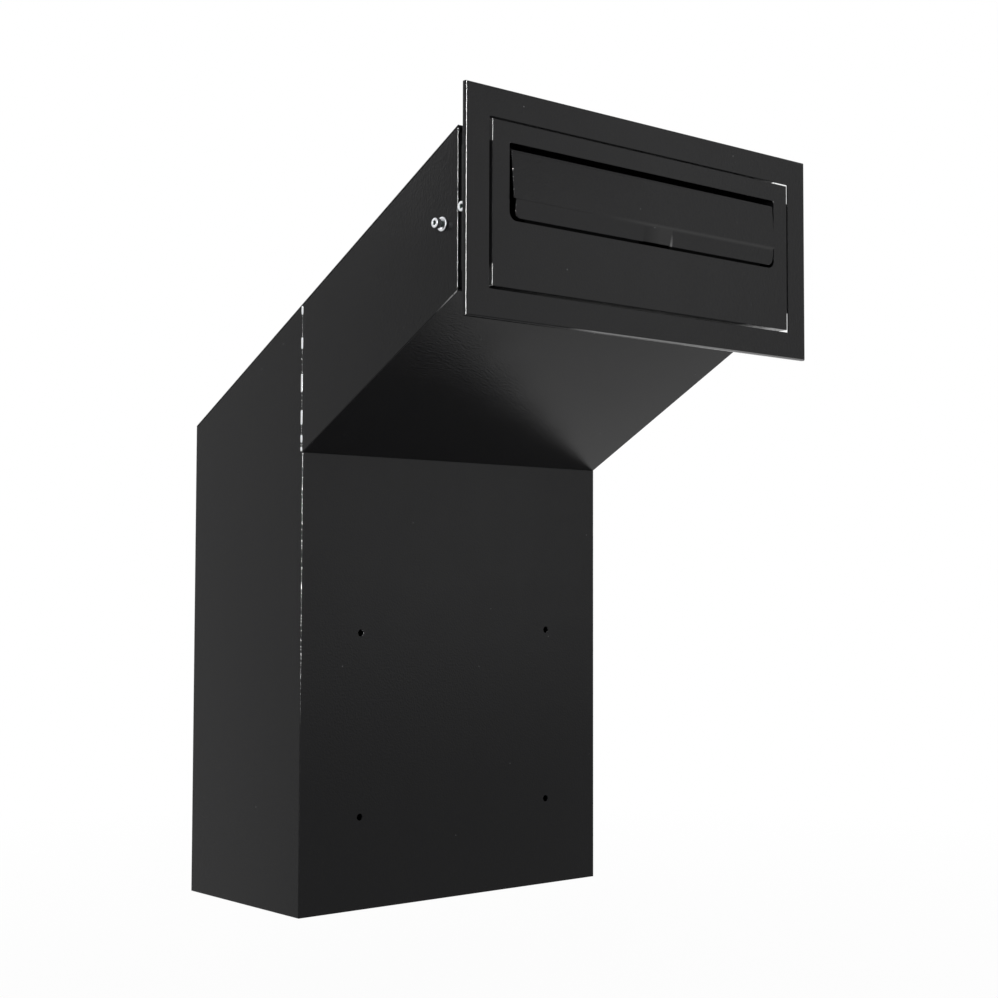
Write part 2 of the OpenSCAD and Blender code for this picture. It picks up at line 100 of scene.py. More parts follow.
def added(tree, kind, values):
    """A new node of a kind, whose inputs are fed in the same way."""
    return fed(tree, tree.nodes.new(kind), values)


def worked_out(tree, kind, *values):
    """Result of a Math node."""
    step = tree.nodes.new("ShaderNodeMath")
    step.operation = kind
    return fed(tree, step, dict(enumerate(values))).outputs[0]


def vector_worked_out(tree, kind, *values):
    """Result of a Vector Math node, which for a length or dot product is a number."""
    step = tree.nodes.new("ShaderNodeVectorMath")
    step.operation = kind
    result = "Value" if kind in ("LENGTH", "DOT_PRODUCT") else "Vector"
    return fed(tree, step, dict(enumerate(values))).outputs[result]


def stretched(tree, value, low, high, start=0.0, end=1.0):
    """Result of a Map Range node: start where the value is at low, end where it is at high."""
    values = dict(enumerate((value, low, high, start, end)))
    return added(tree, "ShaderNodeMapRange", values).outputs["Result"]


def object_place(tree):
    """The place on the object that is being shaded."""
    return tree.nodes.new("ShaderNodeTexCoord").outputs["Object"]


def seen_or_mirrored(tree):
    """A Light Path node's camera, glossy and transmission rays added together, as one 0 to 1 value."""
    path = tree.nodes.new("ShaderNodeLightPath").outputs
    shown = worked_out(tree, "ADD", path["Is Camera Ray"], path["Is Glossy Ray"])
    return worked_out(tree, "ADD", shown, path["Is Transmission Ray"])


def plain_material(name, values):
    """A new material whose Principled BSDF is fed with values. Returns it, its tree and that node."""
    material = bpy.data.materials.new(name)
    material.use_nodes = True
    tree = material.node_tree
    return material, tree, fed(tree, tree.nodes["Principled BSDF"], values)


def white_room():
    """World whose strength is 1 where it is seen or mirrored and room_light where it only lights."""
    world = bpy.data.worlds.new("white_room")
    world.use_nodes = True
    bpy.context.scene.world = world
    tree = world.node_tree
    strength = stretched(tree, seen_or_mirrored(tree), 0.0, 1.0, room_light, 1.0)
    fed(tree, tree.nodes["Background"], {"Color": (1, 1, 1, 1), "Strength": strength})


def pale_floor(height):
    """Square floor that shows white by its own glow. The share of glow rises with the distance from the
    middle, from what lets the object's shadow show to 1, where the floor can't be told from the room."""
    mesh = bpy.data.meshes.new("floor")
    side = floor_half
    mesh.from_pydata([(-side, -side, height), (side, -side, height), (side, side, height),
                      (-side, side, height)], [], [(0, 1, 2, 3)])
    floor = bpy.data.objects.new("floor", mesh)
    bpy.context.scene.collection.objects.link(floor)
    material, tree, matt = plain_material("pale_floor", {"Base Color": (*floor_colour, 1.0),
                                                         "Roughness": 0.9, "Specular IOR Level": 0.0})
    distance = vector_worked_out(tree, "LENGTH", object_place(tree))
    share = stretched(tree, distance, shadow_reach, white_reach, floor_glow_share, 1.0)
    glow = tree.nodes.new("ShaderNodeEmission")
    mix = added(tree, "ShaderNodeMixShader", {0: worked_out(tree, "MULTIPLY", seen_or_mirrored(tree), share),
                                              1: matt.outputs[0], 2: glow.outputs[0]})
    fed(tree, tree.nodes["Material Output"], {"Surface": mix.outputs[0]})
    mesh.materials.append(material)


def soft_box(name, place, target, width, height, power):
    """Rectangular studio lamp at a place, turned to face its target."""
    light = bpy.data.lights.new(name, "AREA")
    light.shape = "RECTANGLE"
    light.size = width
    light.size_y = height
    light.energy = power
    lamp = bpy.data.objects.new(name, light)
    bpy.context.scene.collection.objects.link(lamp)
    lamp.location = place
    lamp.rotation_euler = (Vector(target) - Vector(place)).to_track_quat("-Z", "Y").to_euler()


white_room()
pale_floor(cad_box[0][2] - floor_drop)
soft_box("strip", (-1.25, -1.15, 0.42), target=(0, -0.1, 0.42), width=0.10, height=1.2, power=15)
soft_box("key", (-1.5, -1.3, 1.5), target=(0, -0.05, 0.1), width=1.2, height=1.2, power=8)
soft_box("fill", (1.27, -2.04, 0.6), target=(0, -0.05, 0.1), width=1.4, height=1.4, power=7)
soft_box("rim", (-0.6, 1.8, 1.4), target=(0, 0, 0.1), width=1.6, height=1.0, power=8)


# Wall box. The part that hangs in the room: wall panel, two sides and bottom, bent and welded from 1.5 mm
# steel sheet, with four screw holes in the wall panel, and powder-coated satin black all over.
body_low, body_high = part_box("body_shell")
roof_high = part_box("roof_panel")[1]
chute_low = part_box("chute_shell")[0]
half_w = body_high.x
base_z = body_low.z
rear_y = body_high.y
wall_top = chute_low.z
mouth_y = chute_low.y
sheet = 0.0015
slope = math.radians(28)
rise = math.tan(slope)
skin_v = sheet / math.cos(slope)
fold_r = 0.0008
fold_steps = 6
edge_round = 0.0003
hole_r = 0.0026
hole_steps = 4
hole_x = 0.095
hole_z = 0.07
hole_patch = 0.007
coat_black = (0.0055, 0.0055, 0.0059)
coat_shine = 0.10
coat_gloss = (0.14, 0.21)
coat_peel = {"Peel Scale": 650.0, "Grain Share": 0.35, "Wave Share": 3.0}
peel_height = 0.00012
grain_finer = 3.1
wave_scale = 7.0
gloss_scale = 26.0
gloss_noise = (0.3, 0.7)
dust_grey = (0.16, 0.16, 0.165)
dust_scale = 95.0
dust_half = 0.035
dusty_scale = 60.0
dusty_over = 0.62
edge_blur = 0.1
dot_scale = 700.0
dot_blur = 0.08
noise_top = 0.75
noise_span = 0.5
sideways = (1, 0, 0)
upwards = (0, 0, 1)
nowhere = (8.0, 10.0)
far_off = 2.0


def effect_group(name, vectors, numbers, results):
    """An empty shader node group that takes vectors and numbers and gives numbers, all by name. Returns it,
    the outputs that hold what it is given, and the node that takes its results."""
    group = bpy.data.node_groups.new(name, "ShaderNodeTree")
    sockets = [(socket, "INPUT", "NodeSocketVector") for socket in vectors]
    sockets += [(socket, "INPUT", "NodeSocketFloat") for socket in numbers]
    sockets += [(socket, "OUTPUT", "NodeSocketFloat") for socket in results]
    for socket, way, kind in sockets:
        group.interface.new_socket(socket, in_out=way, socket_type=kind)
    return group, group.nodes.new("NodeGroupInput").outputs, group.nodes.new("NodeGroupOutput")


def coat_relief_group():
    """Node group of a powder coat's surface: orange peel, finer grain on it, the sheet's slow waves, and
    sparse specks of dust. Height and Gloss vary around 0.5, Speck is 0 or 1."""
    group, given, result = effect_group("coat_relief", (), ("Peel Scale", "Grain Share", "Wave Share"),
                                        ("Height", "Gloss", "Speck"))
    place = object_place(group)

    def noise(scale, detail):
        """Noise over the piece, from 0 to 1 around 0.5."""
        values = {"Vector": place, "Scale": scale, "Detail": detail}
        return added(group, "ShaderNodeTexNoise", values).outputs["Fac"]

    finer = worked_out(group, "MULTIPLY", given["Peel Scale"], grain_finer)
    grain = worked_out(group, "MULTIPLY", noise(finer, detail=2.0), given["Grain Share"])
    wave = worked_out(group, "MULTIPLY", noise(wave_scale, detail=0.0), given["Wave Share"])
    peel = worked_out(group, "ADD", noise(given["Peel Scale"], detail=1.5), grain)
    cells = added(group, "ShaderNodeTexVoronoi", {"Scale": dust_scale, "Vector": place})
    near = worked_out(group, "LESS_THAN", cells.outputs["Distance"], dust_half)
    dusty = worked_out(group, "GREATER_THAN", noise(dusty_scale, detail=0.0), dusty_over)
    fed(group, result, {"Height": worked_out(group, "ADD", peel, wave),
                        "Gloss": noise(gloss_scale, detail=3.0),
                        "Speck": worked_out(group, "MULTIPLY", near, dusty)})
    return group


coat_relief = coat_relief_group()


def parted(tree, vector):
    """X, Y and Z of a node's vector output."""
    return added(tree, "ShaderNodeSeparateXYZ", {0: vector}).outputs


def edge_wear_and_glint_group():
    """Node group of rounded edges painted as bare metal: partly wear where the coat is thin, partly a
    painted highlight along the edge. With c the normal's share along Axis, the product 2 c sqrt(1 - c^2)
    is 1 where the normal is diagonal. Noise breaks the edge into dots of the share Cover, and only places
    further from Middle than Half, on every axis, have it. Mask is 0 to 1."""
    group, given, result = effect_group("edge_wear_and_glint", ("Axis", "Middle", "Half"),
                                        ("Narrow", "Soft", "Cover"), ("Mask",))
    place = group.nodes.new("ShaderNodeTexCoord").outputs

    def number(kind, *values):
        """Result of a Math node of this kind in the group."""
        return worked_out(group, kind, *values)

    share = number("ABSOLUTE", vector_worked_out(group, "DOT_PRODUCT", place["Normal"], given["Axis"]))
    other = number("SQRT", number("MAXIMUM", number("SUBTRACT", 1, number("MULTIPLY", share, share)), 0))
    diagonal = number("MULTIPLY", number("MULTIPLY", share, other), 2)
    edge = stretched(group, diagonal, given["Narrow"], number("ADD", given["Narrow"], edge_blur))
    apart = vector_worked_out(group, "SUBTRACT", place["Object"], given["Middle"])
    apart = vector_worked_out(group, "DIVIDE", vector_worked_out(group, "ABSOLUTE", apart), given["Half"])
    x, y, z = parted(group, apart)
    least = number("MINIMUM", number("MINIMUM", x, y), z)
    there = stretched(group, least, 1, number("ADD", given["Soft"], 1))
    dots = added(group, "ShaderNodeTexNoise", {"Vector": place["Object"], "Scale": dot_scale, "Detail": 1.0})
    start = number("SUBTRACT", noise_top, number("MULTIPLY", given["Cover"], noise_span))
    dotted = stretched(group, dots.outputs["Fac"], start, number("ADD", start, dot_blur))
    fed(group, result, {"Mask": number("MULTIPLY", number("MULTIPLY", edge, there), dotted)})
    return group


edge_wear_and_glint = edge_wear_and_glint_group()


def placed_group(tree, group, values):
    """Outputs of a node group that stands in a material with values of its own."""
    node = tree.nodes.new("ShaderNodeGroup")
    node.node_tree = group
    return fed(tree, node, values).outputs


def bumped(tree, surface, values, height):
    """Bumps a surface by the coat_relief group, up to a height. Returns the group's outputs."""
    relief = placed_group(tree, coat_relief, values)
    bump = added(tree, "ShaderNodeBump", {"Distance": height, "Height": relief["Height"]})
    fed(tree, surface, {"Normal": bump.outputs["Normal"]})
    return relief


def paint_over(material, tint, share):
    """Mixes a tint over what the material's Base Color holds, by a share that changes over the surface."""
    tree = material.node_tree
    paint = tree.nodes["Principled BSDF"].inputs["Base Color"]
    under = paint.links[0].from_socket if paint.links else paint.default_value
    mix = tree.nodes.new("ShaderNodeMix")
    mix.data_type = "RGBA"
    fed(tree, mix, {"A": under, "B": (*tint, 1.0), "Factor": share})
    tree.links.new(mix.outputs["Result"], paint)


def edge_wear_and_glint_places(axis, narrow, soft, cover, spared_x=nowhere, spared_y=nowhere, spared_z=nowhere):
    """What the edge group of wear and painted highlights is given. Nothing is marked that lies between the
    two spared places on any axis, and the marks set in beyond them, over the share soft of half their
    distance. Nowhere is a pair of places off the box."""
    spared = np.array([spared_x, spared_y, spared_z])
    return {"Axis": axis, "Middle": spared.mean(axis=1), "Half": (spared[:, 1] - spared[:, 0]) / 2,
            "Narrow": narrow, "Soft": soft, "Cover": cover}


def powder_coat(name, edge_marks=(), bare=0.5):
    """Satin black powder coat: near-black base with a few dust specks, orange peel and waves as bump. Each
    item of the edge list describes edges painted as metal of the grey bare, partly wear where the metal
    shows through and partly a painted highlight along the edge."""
    material, tree, coat = plain_material(name, {"Base Color": (*coat_black, 1.0),
                                                 "Specular IOR Level": coat_shine})
    relief = bumped(tree, coat, coat_peel, peel_height)
    fed(tree, coat, {"Roughness": stretched(tree, relief["Gloss"], *gloss_noise, *coat_gloss)})
    paint_over(material, dust_grey, relief["Speck"])
    mask = 0.0
    for places in edge_marks:
        mask = worked_out(tree, "MAXIMUM", placed_group(tree, edge_wear_and_glint, places)["Mask"], mask)
    # The edge marks are bare metal: partly wear, partly painted highlight.
    if edge_marks:
        paint_over(material, (bare, bare, bare), mask)
        fed(tree, coat, {"Metallic": mask})
    return material


def bent_line(corners, thickness, radius):
    """Runs a sheet's near skin along corners in a plane, with the sheet to the left of the way. Each skin
    turns a corner in an arc, its mitre plus radius times the mitre's direction minus the turning normal.
    The radius, one for all corners or one for each, is the bend's outside; inside it is less by the
    thickness, or 0. Returns both skins."""
    points = np.array(corners, float)
    radii = np.broadcast_to(radius, len(points))
    along = np.diff(points, axis=0)
    along /= np.linalg.norm(along, axis=1)[:, None]
    left = np.stack([-along[:, 1], along[:, 0]], axis=1)
    near, far = [points[:1]], [points[:1] + thickness * left[:1]]
    for k in range(1, len(points) - 1):
        a, b = left[k - 1], left[k]
        turn = math.atan2(a[0] * b[1] - a[1] * b[0], a @ b)
        count = fold_steps if abs(turn) > 1e-6 else 0
        angle = math.atan2(a[1], a[0]) + turn * np.linspace(0, 1, count + 1)
        mitre = (a + b) / (1 + a @ b)
        bow = mitre - np.stack([np.cos(angle), np.sin(angle)], axis=1)
        outside, inside = radii[k], max(radii[k] - thickness, 0)
        near_r, far_r = (outside, inside) if turn > 0 else (-inside, -outside)
        near.append(points[k] + near_r * bow)
        far.append(points[k] + thickness * mitre + far_r * bow)
    near.append(points[-1:])
    far.append(points[-1:] + thickness * left[-1:])
    return np.concatenate(near), np.concatenate(far)


def hole_loop(half_u, half_v, radii, steps):
    """Goes round a rectangle with rounded corners by four quarter arcs, from the lower left one over the
    upper left one. Returns the points and four runs of them, each from an arc's middle to the next one's."""
    points = []
    for k, (su, sv) in enumerate(((-1, -1), (-1, 1), (1, 1), (1, -1))):
        angle = np.radians(np.linspace(270, 180, 2 * steps + 1) - 90 * k)
        arc = np.stack([np.cos(angle), np.sin(angle)], axis=1) * radii[k]
        points.append(arc + (su * (half_u - radii[k]), sv * (half_v - radii[k])))
    points = np.concatenate(points)
    apart = np.linalg.norm(points - np.roll(points, 1, axis=0), axis=1) > 1e-7
    count = int(apart.sum())
    middles = np.cumsum(apart)[np.arange(4) * (2 * steps + 1) + steps] - 1
    runs = [(first + np.arange((last - first) % count + 1)) % count
            for first, last in zip(middles, np.roll(middles, -1))]
    return points[apart], runs


def thick_sheet(near, far, keep=None, holes=(), wrap=False):
    """Closed solid between two grids of points of shape (rows, columns, 3), the sheet's two skins. Cells
    that keep leaves out are missing, and a wall joins the skins wherever a kept cell has no neighbour.
    Each hole is (row, column, radius) and lies in the middle of its cell. With wrap the last column joins
    the first. Returns points and faces."""
    rows, columns = near.shape[:2]
    count = rows * columns
    index = np.arange(count).reshape(rows, columns)
    if wrap:
        index = np.concatenate([index, index[:, :1]], axis=1)
    corner = np.stack([index[:-1, :-1], index[1:, :-1], index[1:, 1:], index[:-1, 1:]], axis=-1)
    kept = np.ones(corner.shape[:2], bool) if keep is None else keep
    whole = kept.copy()
    for row, column, _ in holes:
        whole[row, column] = False
    skin = corner[whole]
    faces = [skin, count + skin[:, ::-1]]
    around = np.pad(kept, 1)
    if wrap:
        around[1:-1, 0] = kept[:, -1]
        around[1:-1, -1] = kept[:, 0]
    beside = (around[1:-1, :-2], around[2:, 1:-1], around[1:-1, 2:], around[:-2, 1:-1])
    for side in range(4):
        open_side = corner[kept & ~beside[side]]
        a = open_side[:, side]
        b = open_side[:, (side + 1) % 4]
        faces.append(np.stack([b, a, a + count, b + count], axis=1))
    faces = [face.tolist() for group in faces for face in group]
    points = [near.reshape(-1, 3), far.reshape(-1, 3)]
    total = 2 * count
    for row, column, radius in holes:
        ring = corner[row, column]
        loop, runs = hole_loop(radius, radius, (radius,) * 4, hole_steps)
        size = len(loop)
        for grid in (near, far):
            square = grid.reshape(-1, 3)[ring]
            u = square[3] - square[0]
            u = u / np.linalg.norm(u)
            v = square[1] - square[0]
            v = v - (v @ u) * u
            v = v / np.linalg.norm(v)
            points.append(square.mean(axis=0) + loop[:, :1] * u + loop[:, 1:] * v)
        for k, run in enumerate(runs):
            ends = np.array([ring[k], ring[(k + 1) % 4]])
            faces.append([*ends, *(total + run[::-1])])
            faces.append([*(total + size + run), *(count + ends[::-1])])
        here = total + np.arange(size)
        there = total + (np.arange(size) + 1) % size
        faces += np.stack([here, there, there + size, here + size], axis=1).tolist()
        total += 2 * size
    return np.concatenate(points), faces


def set_piece(name, mesh, material, body, nodes, round_off, sharpest):
    """Object of a mesh, shaded smooth: edges that turn by more than the sharpest angle, in degrees, are
    rounded, and large flat faces keep their own normals. It rides on a body and stands for the nodes."""
    mesh.materials.clear()
    mesh.materials.append(material)
    mesh.polygons.foreach_set("use_smooth", np.ones(len(mesh.polygons), bool))
    obj = bpy.data.objects.new(name, mesh)
    bpy.context.scene.collection.objects.link(obj)
    if round_off:
        bevel = obj.modifiers.new("rounded_edges", "BEVEL")
        bevel.width = round_off
        bevel.segments = 2
        bevel.limit_method = "ANGLE"
        bevel.angle_limit = math.radians(sharpest)
        bevel.use_clamp_overlap = False
    weighted = obj.modifiers.new("flat_faces", "WEIGHTED_NORMAL")
    weighted.mode = "FACE_AREA"
    weighted.weight = 100
    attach(obj, body)
    if nodes:
        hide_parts(*nodes)


def make_piece(name, shells, material, body, nodes=(), round_off=edge_round, sharpest=40.0):
    """One piece from closed shells, each (points, faces): unused points go, doubles are merged, and a shell
    whose signed volume is negative is turned."""
    mesh = bpy.data.meshes.new(name)
    whole = bmesh.new()
    for points, faces in shells:
        used, flat = np.unique(np.concatenate(faces), return_inverse=True)
        ends = np.cumsum([len(face) for face in faces])[:-1]
        part = bpy.data.meshes.new(name)
        part.from_pydata(points[used].tolist(), [], [face.tolist() for face in np.split(flat, ends)])
        build = bmesh.new()
        build.from_mesh(part)
        bmesh.ops.remove_doubles(build, verts=build.verts, dist=1e-7)
        if build.calc_volume(signed=True) < 0:
            bmesh.ops.reverse_faces(build, faces=build.faces)
        build.to_mesh(part)
        build.free()
        whole.from_mesh(part)
        bpy.data.meshes.remove(part)
    whole.to_mesh(mesh)
    whole.free()
    set_piece(name, mesh, material, body, nodes, round_off, sharpest)


def grid_of(x, y, z):
    """Grid of points from their three coordinates, each a number, row, column or grid."""
    return np.stack(np.broadcast_arrays(x, y, z), axis=-1)


def roof_under(y):
    """Height of the roof sheet's lower side above the place y."""
    return roof_high.z - skin_v - (y - mouth_y) * rise


def either_side(places, reach):
    """Two stops for each place, one before and one behind it."""
    return [place + step for place in places for step in (-reach, reach)]


def wall_box():
    """The U of side, wall panel and side is one bent line carried up through stops, of which the wall
    panel's columns end at its top and the sides' go on to the roof; the bottom is a flat sheet inside."""
    stops_x = either_side((-hole_x, hole_x), hole_patch)
    stops_z = either_side((-hole_z, hole_z), hole_patch)
    side = [(-half_w, rear_y), (-half_w, sheet), (-half_w, 0)]
    corners = side + [(x, 0) for x in stops_x] + [(-x, y) for x, y in side[::-1]]
    near, far = bent_line(corners, sheet, fold_r)
    heights = np.empty((len(near), 7))
    heights[:, :6] = [base_z, *stops_z, wall_top]
    heights[:, 6] = roof_under(near[:, 1])
    keep = np.ones((len(near) - 1, 6), bool)
    keep[1:-1, 5] = False
    column = int(np.argmax(near[:, 0] > stops_x[0] - edge_round))
    holes = [(row, rung, hole_r) for row in (column, column + 2) for rung in (1, 3)]
    inner = half_w - sheet
    bottom = grid_of(np.array([-inner, inner]), np.array([[sheet], [rear_y]]), base_z)
    skins = [grid_of(line[:, :1], line[:, 1:], heights) for line in (near, far)]
    return [thick_sheet(*skins, keep, holes), thick_sheet(bottom, bottom + (0, 0, sheet))]


# Edge wear and painted highlights: bare metal dots on the diagonal edges above height 0; the same coat goes
# on the rear frame, door and lugs.
outer_wear_and_glint = edge_wear_and_glint_places(sideways, narrow=0.7, soft=0.09, cover=0.48, spared_z=(-far_off, 0))
outer_coat = powder_coat("powder_coat_outside", [outer_wear_and_glint])
make_piece("wall_box", wall_box(), outer_coat, "body", ["body_shell"])


# Chute. A second folded sheet, two sides and a sloping floor, that brings the post through the wall. It lies
# on the wall panel's upper edge, is stitch-welded to the box's sides, and carries the clamp screws' nuts.
screw_low, screw_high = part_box("clamp_screws")
clamp_y = (screw_low.y + screw_high.y) / 2
clamp_z = (screw_low.z + screw_high.z) / 2
nut_hole_r = 0.003
nut_patch = 0.008
stitch_heights = ((0.3097, 0.3164), (0.2837, 0.2926), (0.2510, 0.2651), (0.2264, 0.2376), (0.2130, 0.2190),
                  (0.2065, 0.2100))
stitch_half_w = 0.0011
stitch_proud = 0.0005
stitch_steps = 41
stitch_round_steps = 16
stitch_tip = 0.02
ripple_pitch = 0.0012
ripple_share = 0.12
chute_glint_y = -0.16
# The weld stitches' bright metal stands in as painted highlight for the glints on the coated beads.
weld_highlight_grey = (0.72, 0.73, 0.74)
metal_grain = {"Peel Scale": 2200.0, "Grain Share": 0.6, "Wave Share": 0.0}
metal_gloss_down = 0.06
metal_gloss_up = 0.08
scratch_height = 0.000004


def chute():
    """U profile across the slope, carried along Y. A point at distance d over the floor's underside lies
    at that share of the way up from the floor's underside to the roof's, and nothing goes below the wall
    panel's upper edge."""
    deep = (roof_under(0) - wall_top) * math.cos(slope)
    middle = (clamp_z - (wall_top - clamp_y * rise)) * math.cos(slope)
    rungs = [deep, middle + nut_patch, middle - nut_patch, 0]
    corners = [(-half_w, d) for d in rungs] + [(half_w, d) for d in rungs[::-1]]
    stations = np.array([sheet, 0, clamp_y + nut_patch, clamp_y - nut_patch, mouth_y])
    floor = np.maximum(wall_top - stations * rise, wall_top)
    skins = [grid_of(line[:, :1], stations, floor + line[:, 1:] / deep * (roof_under(stations) - floor))
             for line in bent_line(corners, sheet, fold_r)]
    holes = [(row, 2, nut_hole_r) for row in (1, len(skins[0]) - 3)]
    return [thick_sheet(*skins, holes=holes)]


def closed_tube(rings, looped=False):
    """Closed skin over rings of points of shape (rings, around, 3): the first and last ring are capped, or
    joined to each other where the tube is looped."""
    index = np.arange(rings[..., 0].size).reshape(rings.shape[:2])
    if looped:
        index = np.concatenate([index, index[:1]])
    index = np.concatenate([index, index[:, :1]], axis=1)
    sides = np.stack([index[:-1, :-1], index[:-1, 1:], index[1:, 1:], index[1:, :-1]], axis=-1)
    caps = [] if looped else [index[0, -2::-1].tolist(), index[-1, :-1].tolist()]
    return rings.reshape(-1, 3), sides.reshape(-1, 4).tolist() + caps


def stitch(side, low, high):
    """A weld bead up the seam: an ellipse of the bead's half width and height, drawn in at both ends by a
    circle's formula and rippled by a sine along its length."""
    along = np.linspace(-1, 1, stitch_steps)[:, None]
    half = (high - low) / 2
    near_end = np.clip((half * (1 - np.abs(along))) / stitch_half_w, 0, 1)
    ripple = 1 + ripple_share * np.sin(2 * np.pi * along * half / ripple_pitch)
    swell = np.maximum(np.sqrt(1 - (1 - near_end) ** 2) * ripple, stitch_tip)
    turn = np.linspace(0, 2 * np.pi, stitch_round_steps, endpoint=False)
    return closed_tube(grid_of(side * (half_w + stitch_proud * swell * np.cos(turn)),
                               sheet + stitch_half_w * swell * np.sin(turn), (low + high) / 2 + half * along))


def bare_metal(name, tint, gloss):
    """Plated or bare metal: metallic base, roughness that varies with noise, and a faint grain."""
    material, tree, metal = plain_material(name, {"Metallic": 1.0, "Base Color": (*tint, 1.0)})
    relief = bumped(tree, metal, metal_grain, scratch_height)
    rough = stretched(tree, relief["Gloss"], *gloss_noise, gloss - metal_gloss_down, gloss + metal_gloss_up)
    fed(tree, metal, {"Roughness": rough})
    return material


# Edge wear and painted highlights: bare metal dots on the chute's folds near its mouth.
chute_wear_and_glint = edge_wear_and_glint_places(sideways, narrow=0.6, soft=0.02, cover=0.85,
                        spared_y=(chute_glint_y, far_off - chute_glint_y))
chute_coat = powder_coat("powder_coat_chute", [chute_wear_and_glint], bare=0.28)
make_piece("chute", chute(), chute_coat, "body", ["chute_shell"], round_off=0.0005)
# Weld stitches in bright bare metal, a painted highlight along the seams.
make_piece("weld_stitches", [stitch(side, *span) for side in (-1, 1) for span in stitch_heights],
           bare_metal("weld_highlight_metal", weld_highlight_grey, gloss=0.3), "body", round_off=0)


# Roof. A flat sheet of the same steel that lies on the sides of box and chute and is welded to them. It
# falls evenly from the chute's mouth to the rear of the box.
roof_y = np.array([[mouth_y], [rear_y]])
roof_grid = grid_of(np.array([-half_w, half_w]), roof_y, roof_under(roof_y))
plain_coat = powder_coat("powder_coat_plain")
make_piece("roof", [thick_sheet(roof_grid, roof_grid + (0, 0, skin_v))], plain_coat, "body",
           ["roof_panel"])


# Sleeve. A rectangular tube of thinner sheet that slides in the chute, so that the box fits walls of several
# thicknesses. The clamp screws hold it by friction, and it carries the slot panel and the trim.
thin = 0.0012
sleeve_low, sleeve_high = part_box("sleeve")
sleeve_r = 0.0018
fixing_low, fixing_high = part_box("trim_screws")
fixing_y = (fixing_low.y + fixing_high.y) / 2
fixing_z = (fixing_low.z + fixing_high.z) / 2
shank_r = 0.003
shank_patch = 0.006
roof_clearance = 0.0005


def sleeve_tube():
    """Rectangle with rounded corners carried along Y; from the bend on its upper side follows the roof, so
    every height is scaled to the height that is left there."""
    low, high, half = sleeve_low.z, sleeve_high.z, sleeve_high.x
    bend_y = mouth_y + (roof_high.z - skin_v - roof_clearance - high) / rise
    rungs = [low, *either_side([fixing_z], shank_patch), high]
    corners = [(0, low)] + [(half, z) for z in rungs] + [(-half, z) for z in rungs[::-1]] + [(0, low)]
    stations = np.array([sleeve_low.y, *either_side([fixing_y], shank_patch), bend_y, sleeve_high.y])
    share = (high - low - np.maximum(stations - bend_y, 0) * rise) / (high - low)
    skins = [grid_of(line[:, :1], stations, low + (line[:, 1:] - low) * share)
             for line in bent_line(corners, thin, sleeve_r)]
    right = int(np.argmax(np.abs(skins[0][:, 0, 2] - rungs[1]) < edge_round))
    left = len(skins[0]) - 2 - right
    return [thick_sheet(*skins, holes=[(row, 1, shank_r) for row in (right, left)])]


make_piece("sleeve_tube", sleeve_tube(), plain_coat, "front_unit", ["sleeve"])


# Trim. A frame of 1.2 mm sheet that covers the edge of the hole in the wall. Its outer edge is folded back,
# and so are two drilled tabs at its sides and a strip above and below; the corners between them are open.
trim_low, trim_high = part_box("trim_frame")
panel_low, panel_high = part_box("slot_panel")
front_z = (trim_low.z + trim_high.z) / 2
trim_margin = 0.020
trim_lip = 0.004
strip_deep = 0.015
notch = 0.015
trim_fold_r = 0.0015
opening_fold_r = 0.0005
top_lean = 0.0005
corner_gap = 0.001
edge_reach = 0.003
trim_reach = 0.2
foot_shine = -0.08
tab_hole_r = 0.00225
tab_patch = 0.0042


def carried_round(line, places, outward):
    """Grid of a profile, given as outward distance and Y, carried round a rectangle: each place on it plus
    the outward distance times the place's outward direction, which is diagonal at the corners."""
    return grid_of(places[:, 0] + line[:, :1] * outward[:, 0], line[:, 1:],
                   places[:, 1] + line[:, :1] * outward[:, 1])


